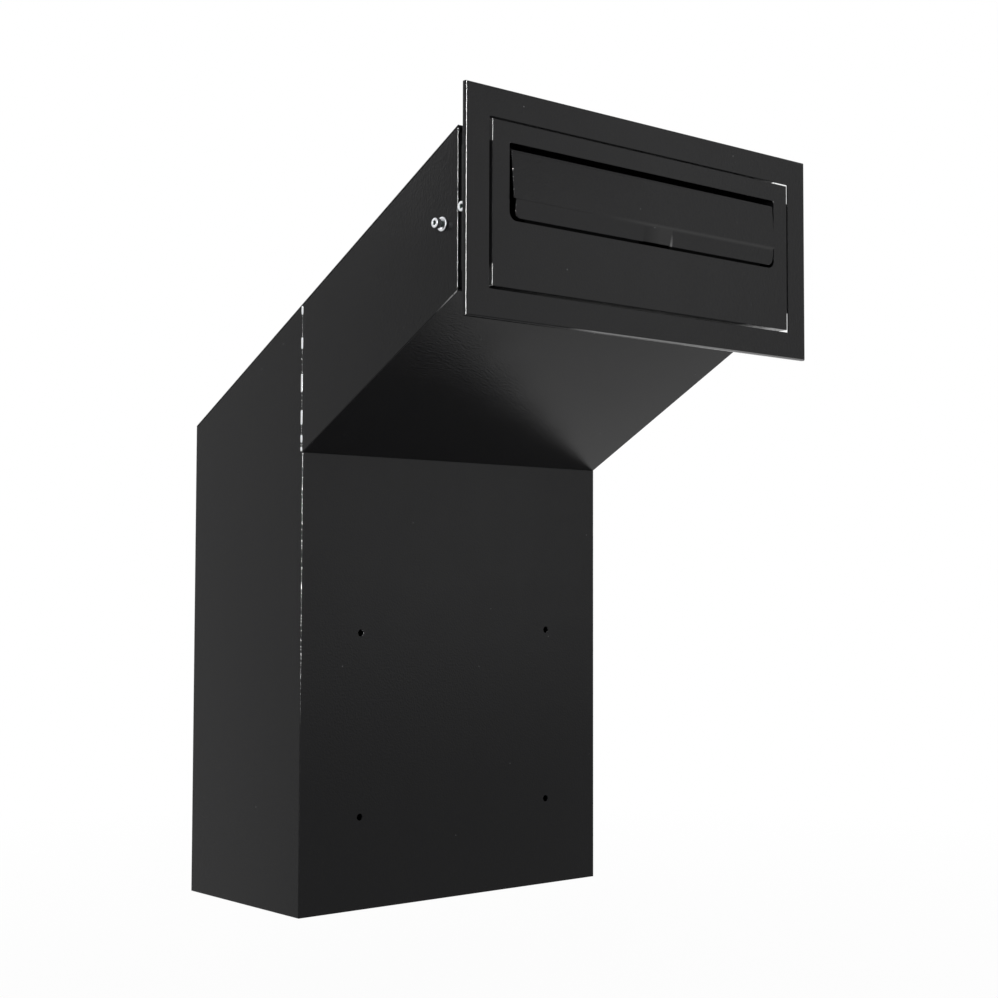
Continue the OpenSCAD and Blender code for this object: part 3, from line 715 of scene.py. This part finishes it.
def trim():
    """The profile runs from a tab's rear edge over the face to the folded edge, and goes round the opening.
    At the corners the tabs' rows are left out, and the face there starts at the opening's edge. The head
    is wider than the other sides by top_lean, which closes the gap over the slot panel."""
    half_x = trim_high.x - trim_margin
    half_z = (trim_high.z - trim_low.z) / 2 - trim_margin
    tab_deep = trim_high.y - trim_low.y
    front = trim_low.y
    stop_share = 2 * (fixing_y - front) / tab_deep - 1
    side_stops = [-half_z + notch, -half_z + notch, -tab_patch, tab_patch, half_z - notch, half_z - notch]
    head_stops = [-half_x + corner_gap, -half_x + corner_gap, half_x - notch, half_x - notch]
    places = np.array([(-half_x, -half_z)] + [(-half_x, z) for z in side_stops]
                      + [(-half_x, half_z)] + [(x, half_z) for x in head_stops]
                      + [(half_x, half_z)] + [(half_x, z) for z in side_stops[::-1]]
                      + [(half_x, -half_z)] + [(x, -half_z) for x in head_stops[::-1]])
    outward = np.sign(places) * (np.abs(places) > np.array([half_x, half_z]) - edge_round)
    head = outward[:, 1] > 0
    places[head, 1] -= top_lean
    outward[head, 1] += top_lean / trim_margin
    sides, heads = len(side_stops), len(head_stops)
    first = np.cumsum([1, sides + 1, heads + 1, sides + 1])
    lengths = [sides, heads, sides, heads]
    tabbed = np.zeros(len(places), bool)
    for start, length in zip(first, lengths):
        tabbed[start + 1:start + length - 1] = True
    grids = []
    for deep in (tab_deep, strip_deep):
        corners = [(0, front + deep), (0, front + deep * stop_share), (0, front), (trim_margin, front),
                   (trim_margin, front + trim_lip)]
        radii = [opening_fold_r] * 3 + [trim_fold_r] * 2
        grids.append([carried_round(line, places, outward) for line in bent_line(corners, thin, radii)])
    level = (outward[:, 0] == 0)[None, :, None]
    skins = [np.where(level, strip, tab) for tab, strip in zip(*grids)]
    face_row = int(np.argmax(skins[0][:, 1, 1] <= front + 1e-9))
    for skin, grid in enumerate(skins):
        plain = places[~tabbed]
        grid[face_row - 1, ~tabbed] = grid_of(plain[:, 0], front + skin * thin, plain[:, 1])
        grid[..., 2] += front_z
    keep = np.ones((len(skins[0]) - 1, len(places)), bool)
    keep[:face_row - 1, ~(tabbed & np.roll(tabbed, -1))] = False
    holes = [(0, first[k] + 2, tab_hole_r) for k in (0, 2)]
    return [thick_sheet(*skins, keep=keep, holes=holes, wrap=True)]


left_end = edge_reach - trim_high.x
face_end = trim_low.y + trim_lip / 2
foot_end = trim_low.z + edge_reach
# Edge wear and painted highlights: bare metal dots on the trim's left fold and on its lower fold right of
# foot_shine.
left_wear_and_glint = edge_wear_and_glint_places(sideways, narrow=0.9, soft=0.001, cover=0.95, spared_x=(left_end, far_off - left_end),
                       spared_y=(face_end, face_end + far_off))
foot_wear_and_glint = edge_wear_and_glint_places(upwards, narrow=0.7, soft=0.03, cover=1.2, spared_x=(foot_shine - far_off, foot_shine),
                       spared_z=(foot_end, foot_end + trim_reach))
trim_coat = powder_coat("powder_coat_trim", [left_wear_and_glint, foot_wear_and_glint], bare=0.21)
make_piece("front_trim", trim(), trim_coat, "front_unit", ["trim_frame"])


# Slot panel. A plate with the letter slot, its four edges folded back 16 mm; it closes the sleeve's front
# and stands half a millimetre proud of the trim.
flap_low, flap_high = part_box("flap")
slot_side = 0.015
slot_head = 0.0138
slot_h = 0.052
slot_round = 0.006
slot_round_steps = 3
slot_nick = 0.0012
panel_fold_r = 0.0005


def square_corners(left, foot, right, head):
    """Corners of an upright rectangle, from the lower left one over the upper left one."""
    return np.array([(left, foot), (left, head), (right, head), (right, foot)])


def beside_outline(places, runs, half_x, half_z):
    """Spreads the points of an opening's outline over the rectangle round it: the arcs' middles go to the
    corners, the ends of the straight sides to the places beside them, and the rest evenly in between.
    Returns the places and their outward directions."""
    corners = square_corners(-half_x, -half_z, half_x, half_z)
    outer = np.empty_like(places)
    for k, run in enumerate(runs):
        start, end = corners[k], corners[(k + 1) % 4]
        axis = 1 if start[0] == end[0] else 0
        step = (len(run) - 1) // 2
        outer[run] = start
        outer[run[:step + 1], axis] = np.linspace(start[axis], places[run[step], axis], step + 1)
        outer[run[-step - 1:], axis] = np.linspace(places[run[-step - 1], axis], end[axis], step + 1)
    return outer, np.sign(outer) * (np.abs(outer) > np.array([half_x, half_z]) - 1e-7)


def pierced_plate(places, outline, profiles, faces, middle_z):
    """Two skins of a folded plate: the first row of each is the opening's outline in its face, and the other
    rows carry its profile round the plate's outline."""
    skins = [carried_round(profile, *outline) for profile in profiles]
    for grid, face in zip(skins, faces):
        grid[0] = grid_of(places[:, 0], face, places[:, 1])
        grid[..., 2] += middle_z
    return skins


def slot_plate():
    """Rows run from the slot's edge over the plate's face to the folded edge. Each point of the slot's
    outline goes with a place on the plate's outline: straight sides with the place beside them, and the
    arcs' middles with the corners."""
    half_x = panel_high.x
    half_z = (panel_high.z - panel_low.z) / 2
    slot_half = half_x - slot_side
    slot_z = half_z - slot_head - slot_h / 2
    radii = (slot_round, slot_nick, slot_nick, slot_round)
    loop, runs = hole_loop(slot_half, slot_h / 2, radii, slot_round_steps)
    places = loop + (0, slot_z)
    outline = beside_outline(places, runs, half_x, half_z)
    front = panel_low.y
    line = [(-slot_head, front), (0, front), (0, panel_high.y)]
    profiles = bent_line(line, thin, panel_fold_r)
    return [thick_sheet(*pierced_plate(places, outline, profiles, (front, front + thin), front_z), wrap=True)]


# Painted highlights: bare metal on the slot panel's side folds near its corners; elsewhere its edges stay
# black.
panel_corner_reach = (panel_high.z - panel_low.z) / 2 - notch
panel_corner_glint = edge_wear_and_glint_places(sideways, narrow=0.3, soft=0.01, cover=1.2,
                        spared_z=(front_z - panel_corner_reach, front_z + panel_corner_reach))
panel_coat = powder_coat("powder_coat_panel", [panel_corner_glint], bare=0.25)
make_piece("slot_plate", slot_plate(), panel_coat, "front_unit", ["slot_panel"])


# Flap. One sheet, creased above its lower strip, with a stamped finger scoop. Its top edge is bent back and
# curled round the hinge rod, on which it swings outwards.
rod_low, rod_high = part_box("flap_rod")
rod_y = (rod_low.y + rod_high.y) / 2
rod_z = (rod_low.z + rod_high.z) / 2
curl_r = flap_high.z - rod_z
top_over_rod = 0.0011
curl_start = math.radians(-165)
curl_steps = 22
strip_steps = 12
corner_steps = 7
flap_strip = 0.0128
foot_proud = 0.0014
strip_cut = 0.002
strip_round = 0.005
flap_bend_r = 0.0022
scoop_w = 0.0285
scoop_x = 0.00525
scoop_deep = 0.0011
scoop_h_share = 0.9
scoop_edge = 0.0004
scoop_lift = 0.0006
# Painted shade and painted highlights on the flap's crease and scoop.
crease_highlight_half = 0.0018
crease_highlight_ends = (-0.05, 0.0)
crease_shade_half = 0.0006
crease_shade_ends = (-0.055, -0.07)
scoop_highlight_grey = (0.022, 0.022, 0.022)
scoop_highlight_share = 0.6
scoop_highlight_ends = (-0.4, 0.1)
wall_highlight_grey = (0.11, 0.11, 0.11)
wall_highlight_ends = (0.3, 0.9)


def flap_sheet():
    """Profile in Y and Z, round the curl, over the top bend, down to the crease and in to the foot, carried
    along X. The strip's lower corners are drawn in by a circle's formula, and the scoop is pushed back by
    an amount that grows evenly from its upper edge to the foot, and lifted by the square of that share."""
    half = flap_high.x
    foot = flap_low.z
    crease_z = foot + flap_strip
    top = np.array([panel_low.y, rod_z + top_over_rod])
    reach = top - (rod_y, rod_z)
    tangent = math.atan2(reach[1], reach[0]) - math.acos(curl_r / math.hypot(*reach))
    turn = np.linspace(curl_start, tangent, curl_steps)
    curl = np.stack([np.cos(turn), np.sin(turn)], axis=1)
    drops = np.linspace(crease_z - thin, foot + strip_round, strip_steps).tolist()
    drops += (foot + strip_round * (1 - np.sin(np.linspace(0, np.pi / 2, corner_steps)[1:]))).tolist()
    crease_y = flap_low.y
    foot_y = panel_low.y - foot_proud
    strip = [(crease_y + (foot_y - crease_y) * (crease_z - z) / flap_strip, z) for z in drops]
    start = np.array([rod_y, rod_z]) + curl_r * curl[-1]
    lines = []
    for skin, face in enumerate(bent_line([start, top, (crease_y, crease_z)] + strip, thin, flap_bend_r)):
        round_rod = np.array([rod_y, rod_z]) + (curl_r - skin * thin) * curl
        lines.append(np.concatenate([round_rod, face[1:]]))
    z = lines[0][:, 1]
    below = np.maximum(foot + strip_round - z, 0)
    inset = strip_round - np.sqrt(np.maximum(strip_round ** 2 - below ** 2, 0))
    end = half - strip_cut
    inner = end - strip_round - 2 * edge_round
    lips = either_side((scoop_x - scoop_w / 2, scoop_x + scoop_w / 2), scoop_edge)
    fixed = np.array([-inner, *lips, inner])
    x = np.empty((len(z), 10))
    x[:, 2:-2] = fixed
    x[:, [0, -1]] = (-half, half)
    x[:, 1] = -end + inset
    x[:, -2] = end - inset
    rise_share = 1 - (z - foot) / (scoop_h_share * flap_strip)
    rise_share[:len(curl)] = 0
    dent_share = np.clip(rise_share, 0, 1)[:, None] * np.array([0, 0, 0, 0, 1, 1, 0, 0, 0, 0])
    skins = [grid_of(x, line[:, :1] + scoop_deep * dent_share, line[:, 1:] + scoop_lift * dent_share ** 2)
             for line in lines]
    keep = np.ones((len(z) - 1, x.shape[1] - 1), bool)
    cut_back = z[:-1] < crease_z + edge_round
    cut_back[:len(curl)] = False
    keep[np.ix_(cut_back, [0, -1])] = False
    return [thick_sheet(*skins, keep=keep)]


def paint_crease_light_and_shade(material, height):
    """Paints light and shade near a height: a dark band, painted shade, towards the crease's left end, and a
    paler band, a painted highlight, from a little left of the middle to the right end. The scoop gets a
    painted highlight that grows towards its right side, and the lower part of its right wall a brighter one."""
    tree = material.node_tree
    x, _, z = parted(tree, object_place(tree))

    def both(first, second):
        """Product of two masks, which is 1 where both are."""
        return worked_out(tree, "MULTIPLY", first, second)

    def from_middle(value, middle):
        """Distance of a value from a middle, which is their difference without its sign."""
        return worked_out(tree, "ABSOLUTE", worked_out(tree, "SUBTRACT", value, middle))

    apart = from_middle(z, height)
    dark = both(stretched(tree, apart, 0.0, crease_shade_half, 1.0, 0.0), stretched(tree, x, *crease_shade_ends))
    paint_over(material, (0, 0, 0), dark)
    pale = both(stretched(tree, apart, 0.0, crease_highlight_half, 1.0, 0.0), stretched(tree, x, *crease_highlight_ends))
    scoop_ends = [scoop_x + scoop_w * share for share in scoop_highlight_ends]
    scoop_end = scoop_x + scoop_w / 2
    inside = both(worked_out(tree, "LESS_THAN", x, scoop_end), worked_out(tree, "LESS_THAN", z, height))
    patch = both(stretched(tree, x, *scoop_ends, 0.0, scoop_highlight_share), inside)
    paint_over(material, scoop_highlight_grey, worked_out(tree, "MAXIMUM", pale, patch))
    wall = stretched(tree, from_middle(x, scoop_end), scoop_edge, 2 * scoop_edge, 1.0, 0.0)
    low = stretched(tree, z, *[height - flap_strip * share for share in wall_highlight_ends])
    paint_over(material, wall_highlight_grey, both(wall, low))


# Edge wear and painted highlights: sparse bare metal dots on the flap's side edges.
flap_wear_and_glint = edge_wear_and_glint_places(sideways, narrow=0.7, soft=0.01, cover=0.3, spared_z=(-far_off, 0))
flap_coat = powder_coat("powder_coat_flap", [flap_wear_and_glint])
paint_crease_light_and_shade(flap_coat, flap_low.z + flap_strip)
make_piece("letter_flap", flap_sheet(), flap_coat, "flap", ["flap"], sharpest=62.0)


# Hinge rod, its two brackets and the flap's stop. They sit behind the slot panel: the rod is plated steel
# with riveted ends, the brackets are cut from sheet and spot-welded, and the stop is near-black and matt,
# painted shade for the dark gap under the flap.
round_steps = 96
round_turn = np.linspace(0, 2 * np.pi, round_steps, endpoint=False)
rod_dome = 0.0004
# Painted shade: the flap stop's near-black matt colour.
stop_shade_black = (0.003, 0.003, 0.003)
stop_grain = {"Peel Scale": 1500.0, "Grain Share": 1.0}
stop_grain_height = 0.0002
zinc_grey = (0.62, 0.63, 0.65)
plate_gloss = 0.28


def turned(centre, axis, places, radii, looped=False):
    """Surface of revolution: each ring lies at a place on the X (0) or Y (1) axis, and has its own radius,
    which may change round it. Its ends are capped, or joined to each other where the piece is bored."""
    radii = np.broadcast_to(np.reshape(radii, (len(places), -1)), (len(places), round_steps))
    flat = [np.reshape(places, (-1, 1)), centre[0] + radii * np.cos(round_turn)]
    return closed_tube(grid_of(flat[axis], flat[1 - axis], centre[1] + radii * np.sin(round_turn)), looped)


def softened(name, node, material, body, round_off=0.0002):
    """A copy of a node's solid whose doubles are merged, whose flat faces are joined and whose edges are
    rounded; it stands for that node."""
    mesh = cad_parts[node].data.copy()
    build = bmesh.new()
    build.from_mesh(mesh)
    bmesh.ops.remove_doubles(build, verts=build.verts, dist=1e-6)
    bmesh.ops.dissolve_limit(build, angle_limit=math.radians(1), verts=build.verts, edges=build.edges)
    build.to_mesh(mesh)
    build.free()
    set_piece(name, mesh, material, body, [node], round_off, 40.0)


plated = bare_metal("zinc_plate", zinc_grey, plate_gloss)
rod_r = rod_high.z - rod_z
rod_places = [rod_low.x, rod_low.x + rod_dome, rod_high.x - rod_dome, rod_high.x]
rod_radii = [rod_r - rod_dome, rod_r, rod_r, rod_r - rod_dome]
make_piece("hinge_rod", [turned((rod_y, rod_z), 0, rod_places, rod_radii)], plated, "front_unit",
           ["flap_rod"], round_off=0)
softened("rod_bracket_pair", "rod_brackets", plain_coat, "front_unit")
# The stop's near-black matt material is painted shade for the gap under the flap.
stop_shade, stop_shade_tree, stop_shade_surface = plain_material("matt_black_stop_shade", {
    "Base Color": (*stop_shade_black, 1.0), "Roughness": 0.95, "Specular IOR Level": 0.02})
bumped(stop_shade_tree, stop_shade_surface, stop_grain, stop_grain_height)
softened("flap_stop_strip", "flap_stop", stop_shade, "front_unit")


# Screws and nuts at the sides. M4 cap screws with a knurled head and a 3 mm hexagon socket: one pair holds
# the trim's tabs to standoffs on the sleeve, the other clamps the sleeve through rivet nuts in the chute.
screw_r = 0.00197
screw_gap = 0.0001
# Painted shade for the screws' sockets and threads.
recess_shade = (0.03, 0.04, 0.036)
head_r = 0.0035
head_h = 0.004
head_chamfer = 0.0003
head_crown = ((0, 0.00055), (0.00012, 0.00025), (0.0004, 0.00005))
crown_h = 0.0005
socket_half = 0.0015
socket_deep = 0.002
socket_mouth_r = 0.00195
socket_mouth_deep = 0.00025
knurl_count = 24
knurl_deep = 0.00013
thread_pitch = 0.0007
thread_deep = 0.00035
thread_steps = 6
# Reach of the painted shade in the socket and on the thread.
socket_shade_share = 1.2
thread_shade_share = 1.1
shade_below_face = 0.0002
shank_fit_r = 0.00298
nut_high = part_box("clamp_nuts")[1]
nut_flange_r = 0.005
nut_crown = ((0, 0.0006), (0.00025, 0.00015), (0.0005, 0))
nut_bulge = ((0, 0.0037), (0.0004, 0.004), (0.001, 0.0037), (0.0014, 0.0031))
nut_bore_chamfer = 0.0003
standoff_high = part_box("trim_standoffs")[1]
standoff_r = 0.0045
standoff_chamfer = 0.0003
standoff_long = 0.0082
rivet_r = 0.003
rivet_round = 0.0004
rivet_end_r = 0.0028
clamp_tip_gap = 0.0001
fixing_tip_in = 0.0034


def hexagon(half):
    """Radius of a hexagon round its middle: half its width over the cosine of the turn from the side."""
    return half / np.cos((round_turn + np.pi / 6) % (np.pi / 3) - np.pi / 6)


def thread(start, end, outer, pitch, deep):
    """Rings of a screw thread: the radius falls and rises like a triangle wave that turns with the place."""
    places = np.linspace(start, end, max(2, int(abs(end - start) / pitch * thread_steps)))
    turn = np.linspace(0, 1, round_steps, endpoint=False)
    phase = (places[:, None] / pitch + turn) % 1
    return places, outer - deep * (1 - 2 * np.abs(phase - 0.5))


def socketed(name, centre, seat, face):
    """Plated material with painted shade in the hexagon socket and on the thread: nearer to the screw's axis
    than the socket's corners, up to just below the head's face, or than the thread, up to the head's seat."""
    material = bare_metal(name, zinc_grey, plate_gloss)
    tree = material.node_tree
    x, y, z = parted(tree, object_place(tree))
    out = worked_out(tree, "ABSOLUTE", x)
    square = 0.0
    for value, middle in zip((y, z), centre):
        apart = worked_out(tree, "SUBTRACT", value, middle)
        square = worked_out(tree, "ADD", worked_out(tree, "MULTIPLY", apart, apart), square)
    thread_out = worked_out(tree, "LESS_THAN", out, seat)
    reach = stretched(tree, thread_out, 0.0, 1.0, socket_half * socket_shade_share,
                      screw_r * thread_shade_share)
    near = worked_out(tree, "LESS_THAN", worked_out(tree, "SQRT", square), reach)
    sunk = worked_out(tree, "LESS_THAN", out, face - shade_below_face)
    paint_over(material, recess_shade, worked_out(tree, "MULTIPLY", near, sunk))
    return material


def cap_screw(centre, side, face, seat, tip):
    """From the socket's bottom over its chamfer, the head's crown and knurl to the seat and the thread."""
    knurl = head_r - knurl_deep * (1 - np.abs(np.cos(knurl_count * round_turn / 2)))
    full = np.ones(round_steps)
    head = [(socket_deep, hexagon(socket_half)), (socket_mouth_deep, hexagon(socket_half)),
            (0, full * socket_mouth_r)]
    head += [(deep, full * (head_r - step)) for deep, step in head_crown]
    head += [(crown_h, knurl)]
    foot = [(head_chamfer, knurl), (head_chamfer / 2, full * (head_r - head_chamfer / 2)),
            (0, full * (head_r - head_chamfer))]
    turns, cuts = thread(seat, tip, screw_r, thread_pitch, thread_deep)
    places = [[face - deep for deep, _ in head], [seat + high for high, _ in foot], turns,
              [tip - head_chamfer]]
    radii = [[radius for _, radius in head + foot], cuts, [full * (screw_r - thread_deep - head_chamfer)]]
    return turned(centre, 0, side * np.concatenate(places), np.concatenate(radii))


def screw_pair(name, finish, centre, face, tip, body, nodes):
    """Left and right screw with their faces and tips at the same distances from the middle."""
    seat = face - head_h
    screws = [cap_screw(centre, side, face, seat, tip) for side in (-1, 1)]
    make_piece(name, screws, socketed(finish, centre, seat, face), body, nodes, round_off=0)


def rivet_nut(side):
    """Chamfered flange on the chute, barrel through its side and a bulged collar inside, bored through."""
    flange, inner = nut_high.x, half_w - sheet
    profile = [(flange, screw_r + 2 * screw_gap)]
    profile += [(flange - deep, nut_flange_r - step) for deep, step in nut_crown]
    profile += [(half_w, nut_flange_r), (half_w, shank_fit_r), (inner, shank_fit_r)]
    profile += [(inner - deep, radius) for deep, radius in nut_bulge]
    profile += [(profile[-1][0], screw_r + screw_gap), (flange - nut_bore_chamfer, screw_r + screw_gap)]
    places, radii = np.array(profile).T
    return turned((clamp_y, clamp_z), 0, side * places, radii, looped=True)


def standoff(side):
    """Turned spacer between tab and sleeve, with its riveted shank inside the sleeve, bored through."""
    outer, inner, end = standoff_high.x, sleeve_high.x, standoff_high.x - standoff_long
    profile = [(outer, screw_r + screw_gap), (outer, standoff_r - standoff_chamfer),
               (outer - standoff_chamfer, standoff_r), (inner + standoff_chamfer, standoff_r),
               (inner, standoff_r - standoff_chamfer), (inner, shank_fit_r), (inner - thin, shank_fit_r),
               (inner - thin - rivet_round, rivet_r), (end, rivet_end_r), (end, screw_r + screw_gap)]
    places, radii = np.array(profile).T
    return turned((fixing_y, fixing_z), 0, side * places, radii, looped=True)


make_piece("clamp_nut_pair", [rivet_nut(side) for side in (-1, 1)], plated, "body", ["clamp_nuts"],
           round_off=0)
screw_pair("clamp_screw_pair", "zinc_plate_clamp", (clamp_y, clamp_z), screw_high.x,
           sleeve_high.x + clamp_tip_gap, "body", ["clamp_screws"])
make_piece("standoff_pair", [standoff(side) for side in (-1, 1)], plated, "front_unit",
           ["trim_standoffs"], round_off=0)
screw_pair("trim_screw_pair", "zinc_plate_trim", (fixing_y, fixing_z), fixing_high.x,
           sleeve_high.x - fixing_tip_in, "front_unit", ["trim_screws"])


# Rear frame. A plate with a rectangular opening, welded inside the box in front of the door; the post is
# taken out through it, and the lock's cam turns behind its left side.
frame_low, frame_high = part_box("rear_frame")
frame_side = 0.022
frame_head = 0.030


def frame_plate():
    """Two rings of four corners: the opening's and the plate's outline, joined by four faces."""
    rings = np.array([square_corners(frame_low.x + frame_side, frame_low.z + frame_side,
                                     frame_high.x - frame_side, frame_high.z - frame_head),
                      square_corners(frame_low.x, frame_low.z, frame_high.x, frame_high.z)])
    skins = [grid_of(rings[..., 0], y, rings[..., 1]) for y in (frame_low.y, frame_high.y)]
    return [thick_sheet(*skins, wrap=True)]


make_piece("rear_frame_plate", frame_plate(), outer_coat, "body", ["rear_frame"])


# Door with its hinge. A sheet folded on all four edges hangs on two pins in lugs that are welded into the
# box; its folds are drilled for the pins, and the one at the hinge is cut back so that the door swings.
door_low, door_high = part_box("door_panel")
pin_low, pin_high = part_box("hinge_pins")
lock_low, lock_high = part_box("lock_housing")
pin_x = (pin_low.x + pin_high.x) / 2
pin_y = (pin_low.y + pin_high.y) / 2
pin_r = pin_high.x - pin_x
lock_x = (lock_low.x + lock_high.x) / 2
lock_z = (lock_low.z + lock_high.z) / 2
lock_r = 0.009
lock_gap = 0.0001
lock_hole_steps = 5
hinge_fold = 0.006
door_fold_r = 0.0014
pin_patch = 0.0026
pin_gap = 0.00005


def door_sheet():
    """Rows run from the lock's hole over the door's face to the folds' edges, and go round the outline. The
    folds' depth falls evenly from the pins' holes to the hinge edge."""
    half_x = door_high.x
    half_z = (door_high.z - door_low.z) / 2
    middle_z = (door_high.z + door_low.z) / 2
    rear = door_high.y
    deep = rear - door_low.y
    radius = lock_r + lock_gap
    loop, runs = hole_loop(radius, radius, (radius,) * 4, lock_hole_steps)
    places = loop + (lock_x, lock_z - middle_z)
    outer, outward = beside_outline(places, runs, half_x, half_z)
    for run, picked in ((runs[1], (-3, -2)), (runs[3], (2, 1))):
        outer[run[picked[0]], 0] = pin_x - pin_patch
        outer[run[picked[1]], 0] = pin_x + pin_patch
    past = np.clip((outer[:, 0] - (pin_x - pin_patch)) / (half_x - pin_x + pin_patch), 0, 1)
    fold = deep + (hinge_fold - deep) * past
    stop = 2 * (rear - pin_y) - door_fold_r
    line = [(-half_x, -rear), (0, -rear), (0, stop - rear), (0, -door_low.y)]
    profiles = [profile * (1, -1) for profile in bent_line(line, thin, door_fold_r)]
    skins = pierced_plate(places, (outer, outward), profiles, (rear, rear - thin), middle_z)
    for grid in skins:
        grid[-1, :, 1] = rear - fold
        grid[-2, :, 1] = rear - np.minimum(stop, fold - pin_gap)
    columns = [int(runs[1][-3]), int(runs[3][1])]
    holes = [(len(skins[0]) - 3, column, pin_r + pin_gap) for column in columns]
    return [thick_sheet(*skins, holes=holes, wrap=True)]


make_piece("rear_door", door_sheet(), outer_coat, "door", ["door_panel"], round_off=0.0003)
softened("hinge_lug_pair", "hinge_lugs", outer_coat, "body")
softened("hinge_pin_pair", "hinge_pins", plated, "body", round_off=0.0003)


# Cam lock and key. A nickel-plated housing is clamped in the door by a thin nut; its plug carries the cam,
# which a screw holds on a square tenon, and the flat key with its cut edge slides into the plug.
lock_end = lock_low.y
flange_y = lock_high.y
flange_r = lock_high.x - lock_x
plug_r = 0.0055
plug_gap = 0.00005
barrel_pitch = 0.001
barrel_deep = 0.0003
barrel_start = 0.0005
barrel_bevel = 0.0007
rim_crown = ((0.0008, 0), (0.0002, 0.0006), (0, 0.0012))
rim_groove = ((0, 0.0022), (0.0003, 0.0018), (0.0003, 0.0006), (0, 0.0003))
nickel_grey = (0.66, 0.63, 0.58)
key_low, key_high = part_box("key")
key_round = 0.004
key_hole_r = 0.003
key_hole_in = 0.006
key_hole_patch = 0.0038
key_ring_half = 0.0042
key_blade_half = 0.0033
key_bow = 0.021
key_tip_chamfer = 0.0006
key_tip_cut = 0.0012
key_cuts = (0.0006, 0.0013, 0.0003, 0.0010)
key_cut_pitch = 0.0024
key_cut_start = 0.0018
key_cut_half = 0.0008
key_cut_floor = 0.0003


def lock_body():
    """Threaded barrel, chamfered flange with a grooved face, and the bore for the plug."""
    turns, cuts = thread(lock_end + barrel_start, door_high.y - thin, lock_r, barrel_pitch, barrel_deep)
    full = np.ones(round_steps)
    rim = [(door_high.y - thin, lock_r), (door_high.y, lock_r), (door_high.y, flange_r)]
    rim += [(flange_y - deep, flange_r - step) for deep, step in rim_crown]
    rim += [(flange_y - deep, plug_r + step) for deep, step in rim_groove]
    rim += [(flange_y, plug_r + plug_gap), (lock_end, plug_r + plug_gap), (lock_end, lock_r - barrel_bevel)]
    places = np.concatenate([turns, [place for place, _ in rim]])
    radii = np.concatenate([cuts, [full * radius for _, radius in rim]])
    return [turned((lock_x, lock_z), 1, places, radii, looped=True)]


def key_plate():
    """Three rows of cells across the key's height. The outer ones exist only in the bow, whose corners
    follow a circle's formula; the blade's lower edge has a trapezium cut for each lock pin."""
    bow = key_high.y - key_bow
    half = (key_high.z - key_low.z) / 2
    middle = (key_high.z + key_low.z) / 2
    tip = key_low.y
    cuts = [(tip + key_cut_start + k * key_cut_pitch + step, deep) for k, depth in enumerate(key_cuts)
            for step, deep in ((-key_cut_half, 0), (-key_cut_floor, depth), (key_cut_floor, depth),
                               (key_cut_half, 0))]
    arc = key_round * (1 - np.cos(np.linspace(0, np.pi / 2, corner_steps)))
    hole_y = key_high.y - key_hole_in
    y = np.concatenate([[tip, tip + key_tip_chamfer], [place for place, _ in cuts], bow + arc,
                        [hole_y - key_hole_patch, hole_y + key_hole_patch]])
    y = np.unique(np.concatenate([y, key_high.y - arc]).round(7))
    y = y[np.abs(y - hole_y) > key_hole_patch - 1e-6]
    edge = np.minimum(np.abs(y - bow), np.abs(key_high.y - y))
    outer = half - key_round + np.sqrt(np.maximum(key_round ** 2 - np.maximum(key_round - edge, 0) ** 2, 0))
    blunt = [(tip, key_tip_cut), (tip + key_tip_chamfer, 0)]
    lower = np.interp(y, *np.array(blunt + cuts).T)
    upper = np.interp(y, *np.array(blunt).T)
    in_bow = y > bow + edge_round
    ring = np.where(in_bow, key_ring_half, key_blade_half)
    rows = np.stack([-outer, -ring + np.where(in_bow, 0, lower), ring - np.where(in_bow, 0, upper), outer])
    skins = [grid_of(x, y, middle + rows) for x in (key_low.x, key_high.x)]
    keep = np.ones((3, len(y) - 1), bool)
    keep[np.ix_([0, 2], y[:-1] < bow - edge_round)] = False
    column = int(np.argmax(np.abs(y - (hole_y - key_hole_patch)) < 1e-6))
    return [thick_sheet(*skins, keep=keep, holes=[(1, column, key_hole_r)])]


nickel = bare_metal("nickel_plate", nickel_grey, gloss=0.22)
make_piece("lock_barrel", lock_body(), nickel, "door", ["lock_housing"], round_off=0)
softened("lock_clamp_nut", "lock_nut", plated, "door", round_off=0.0003)
softened("lock_core_plug", "lock_plug", nickel, "lock_core", round_off=0.00015)
softened("cam_plate", "lock_cam", plated, "lock_core")
softened("cam_fixing_screw", "cam_screw", plated, "lock_core")
make_piece("flat_key", key_plate(), nickel, "key", ["key"], round_off=0.0002)
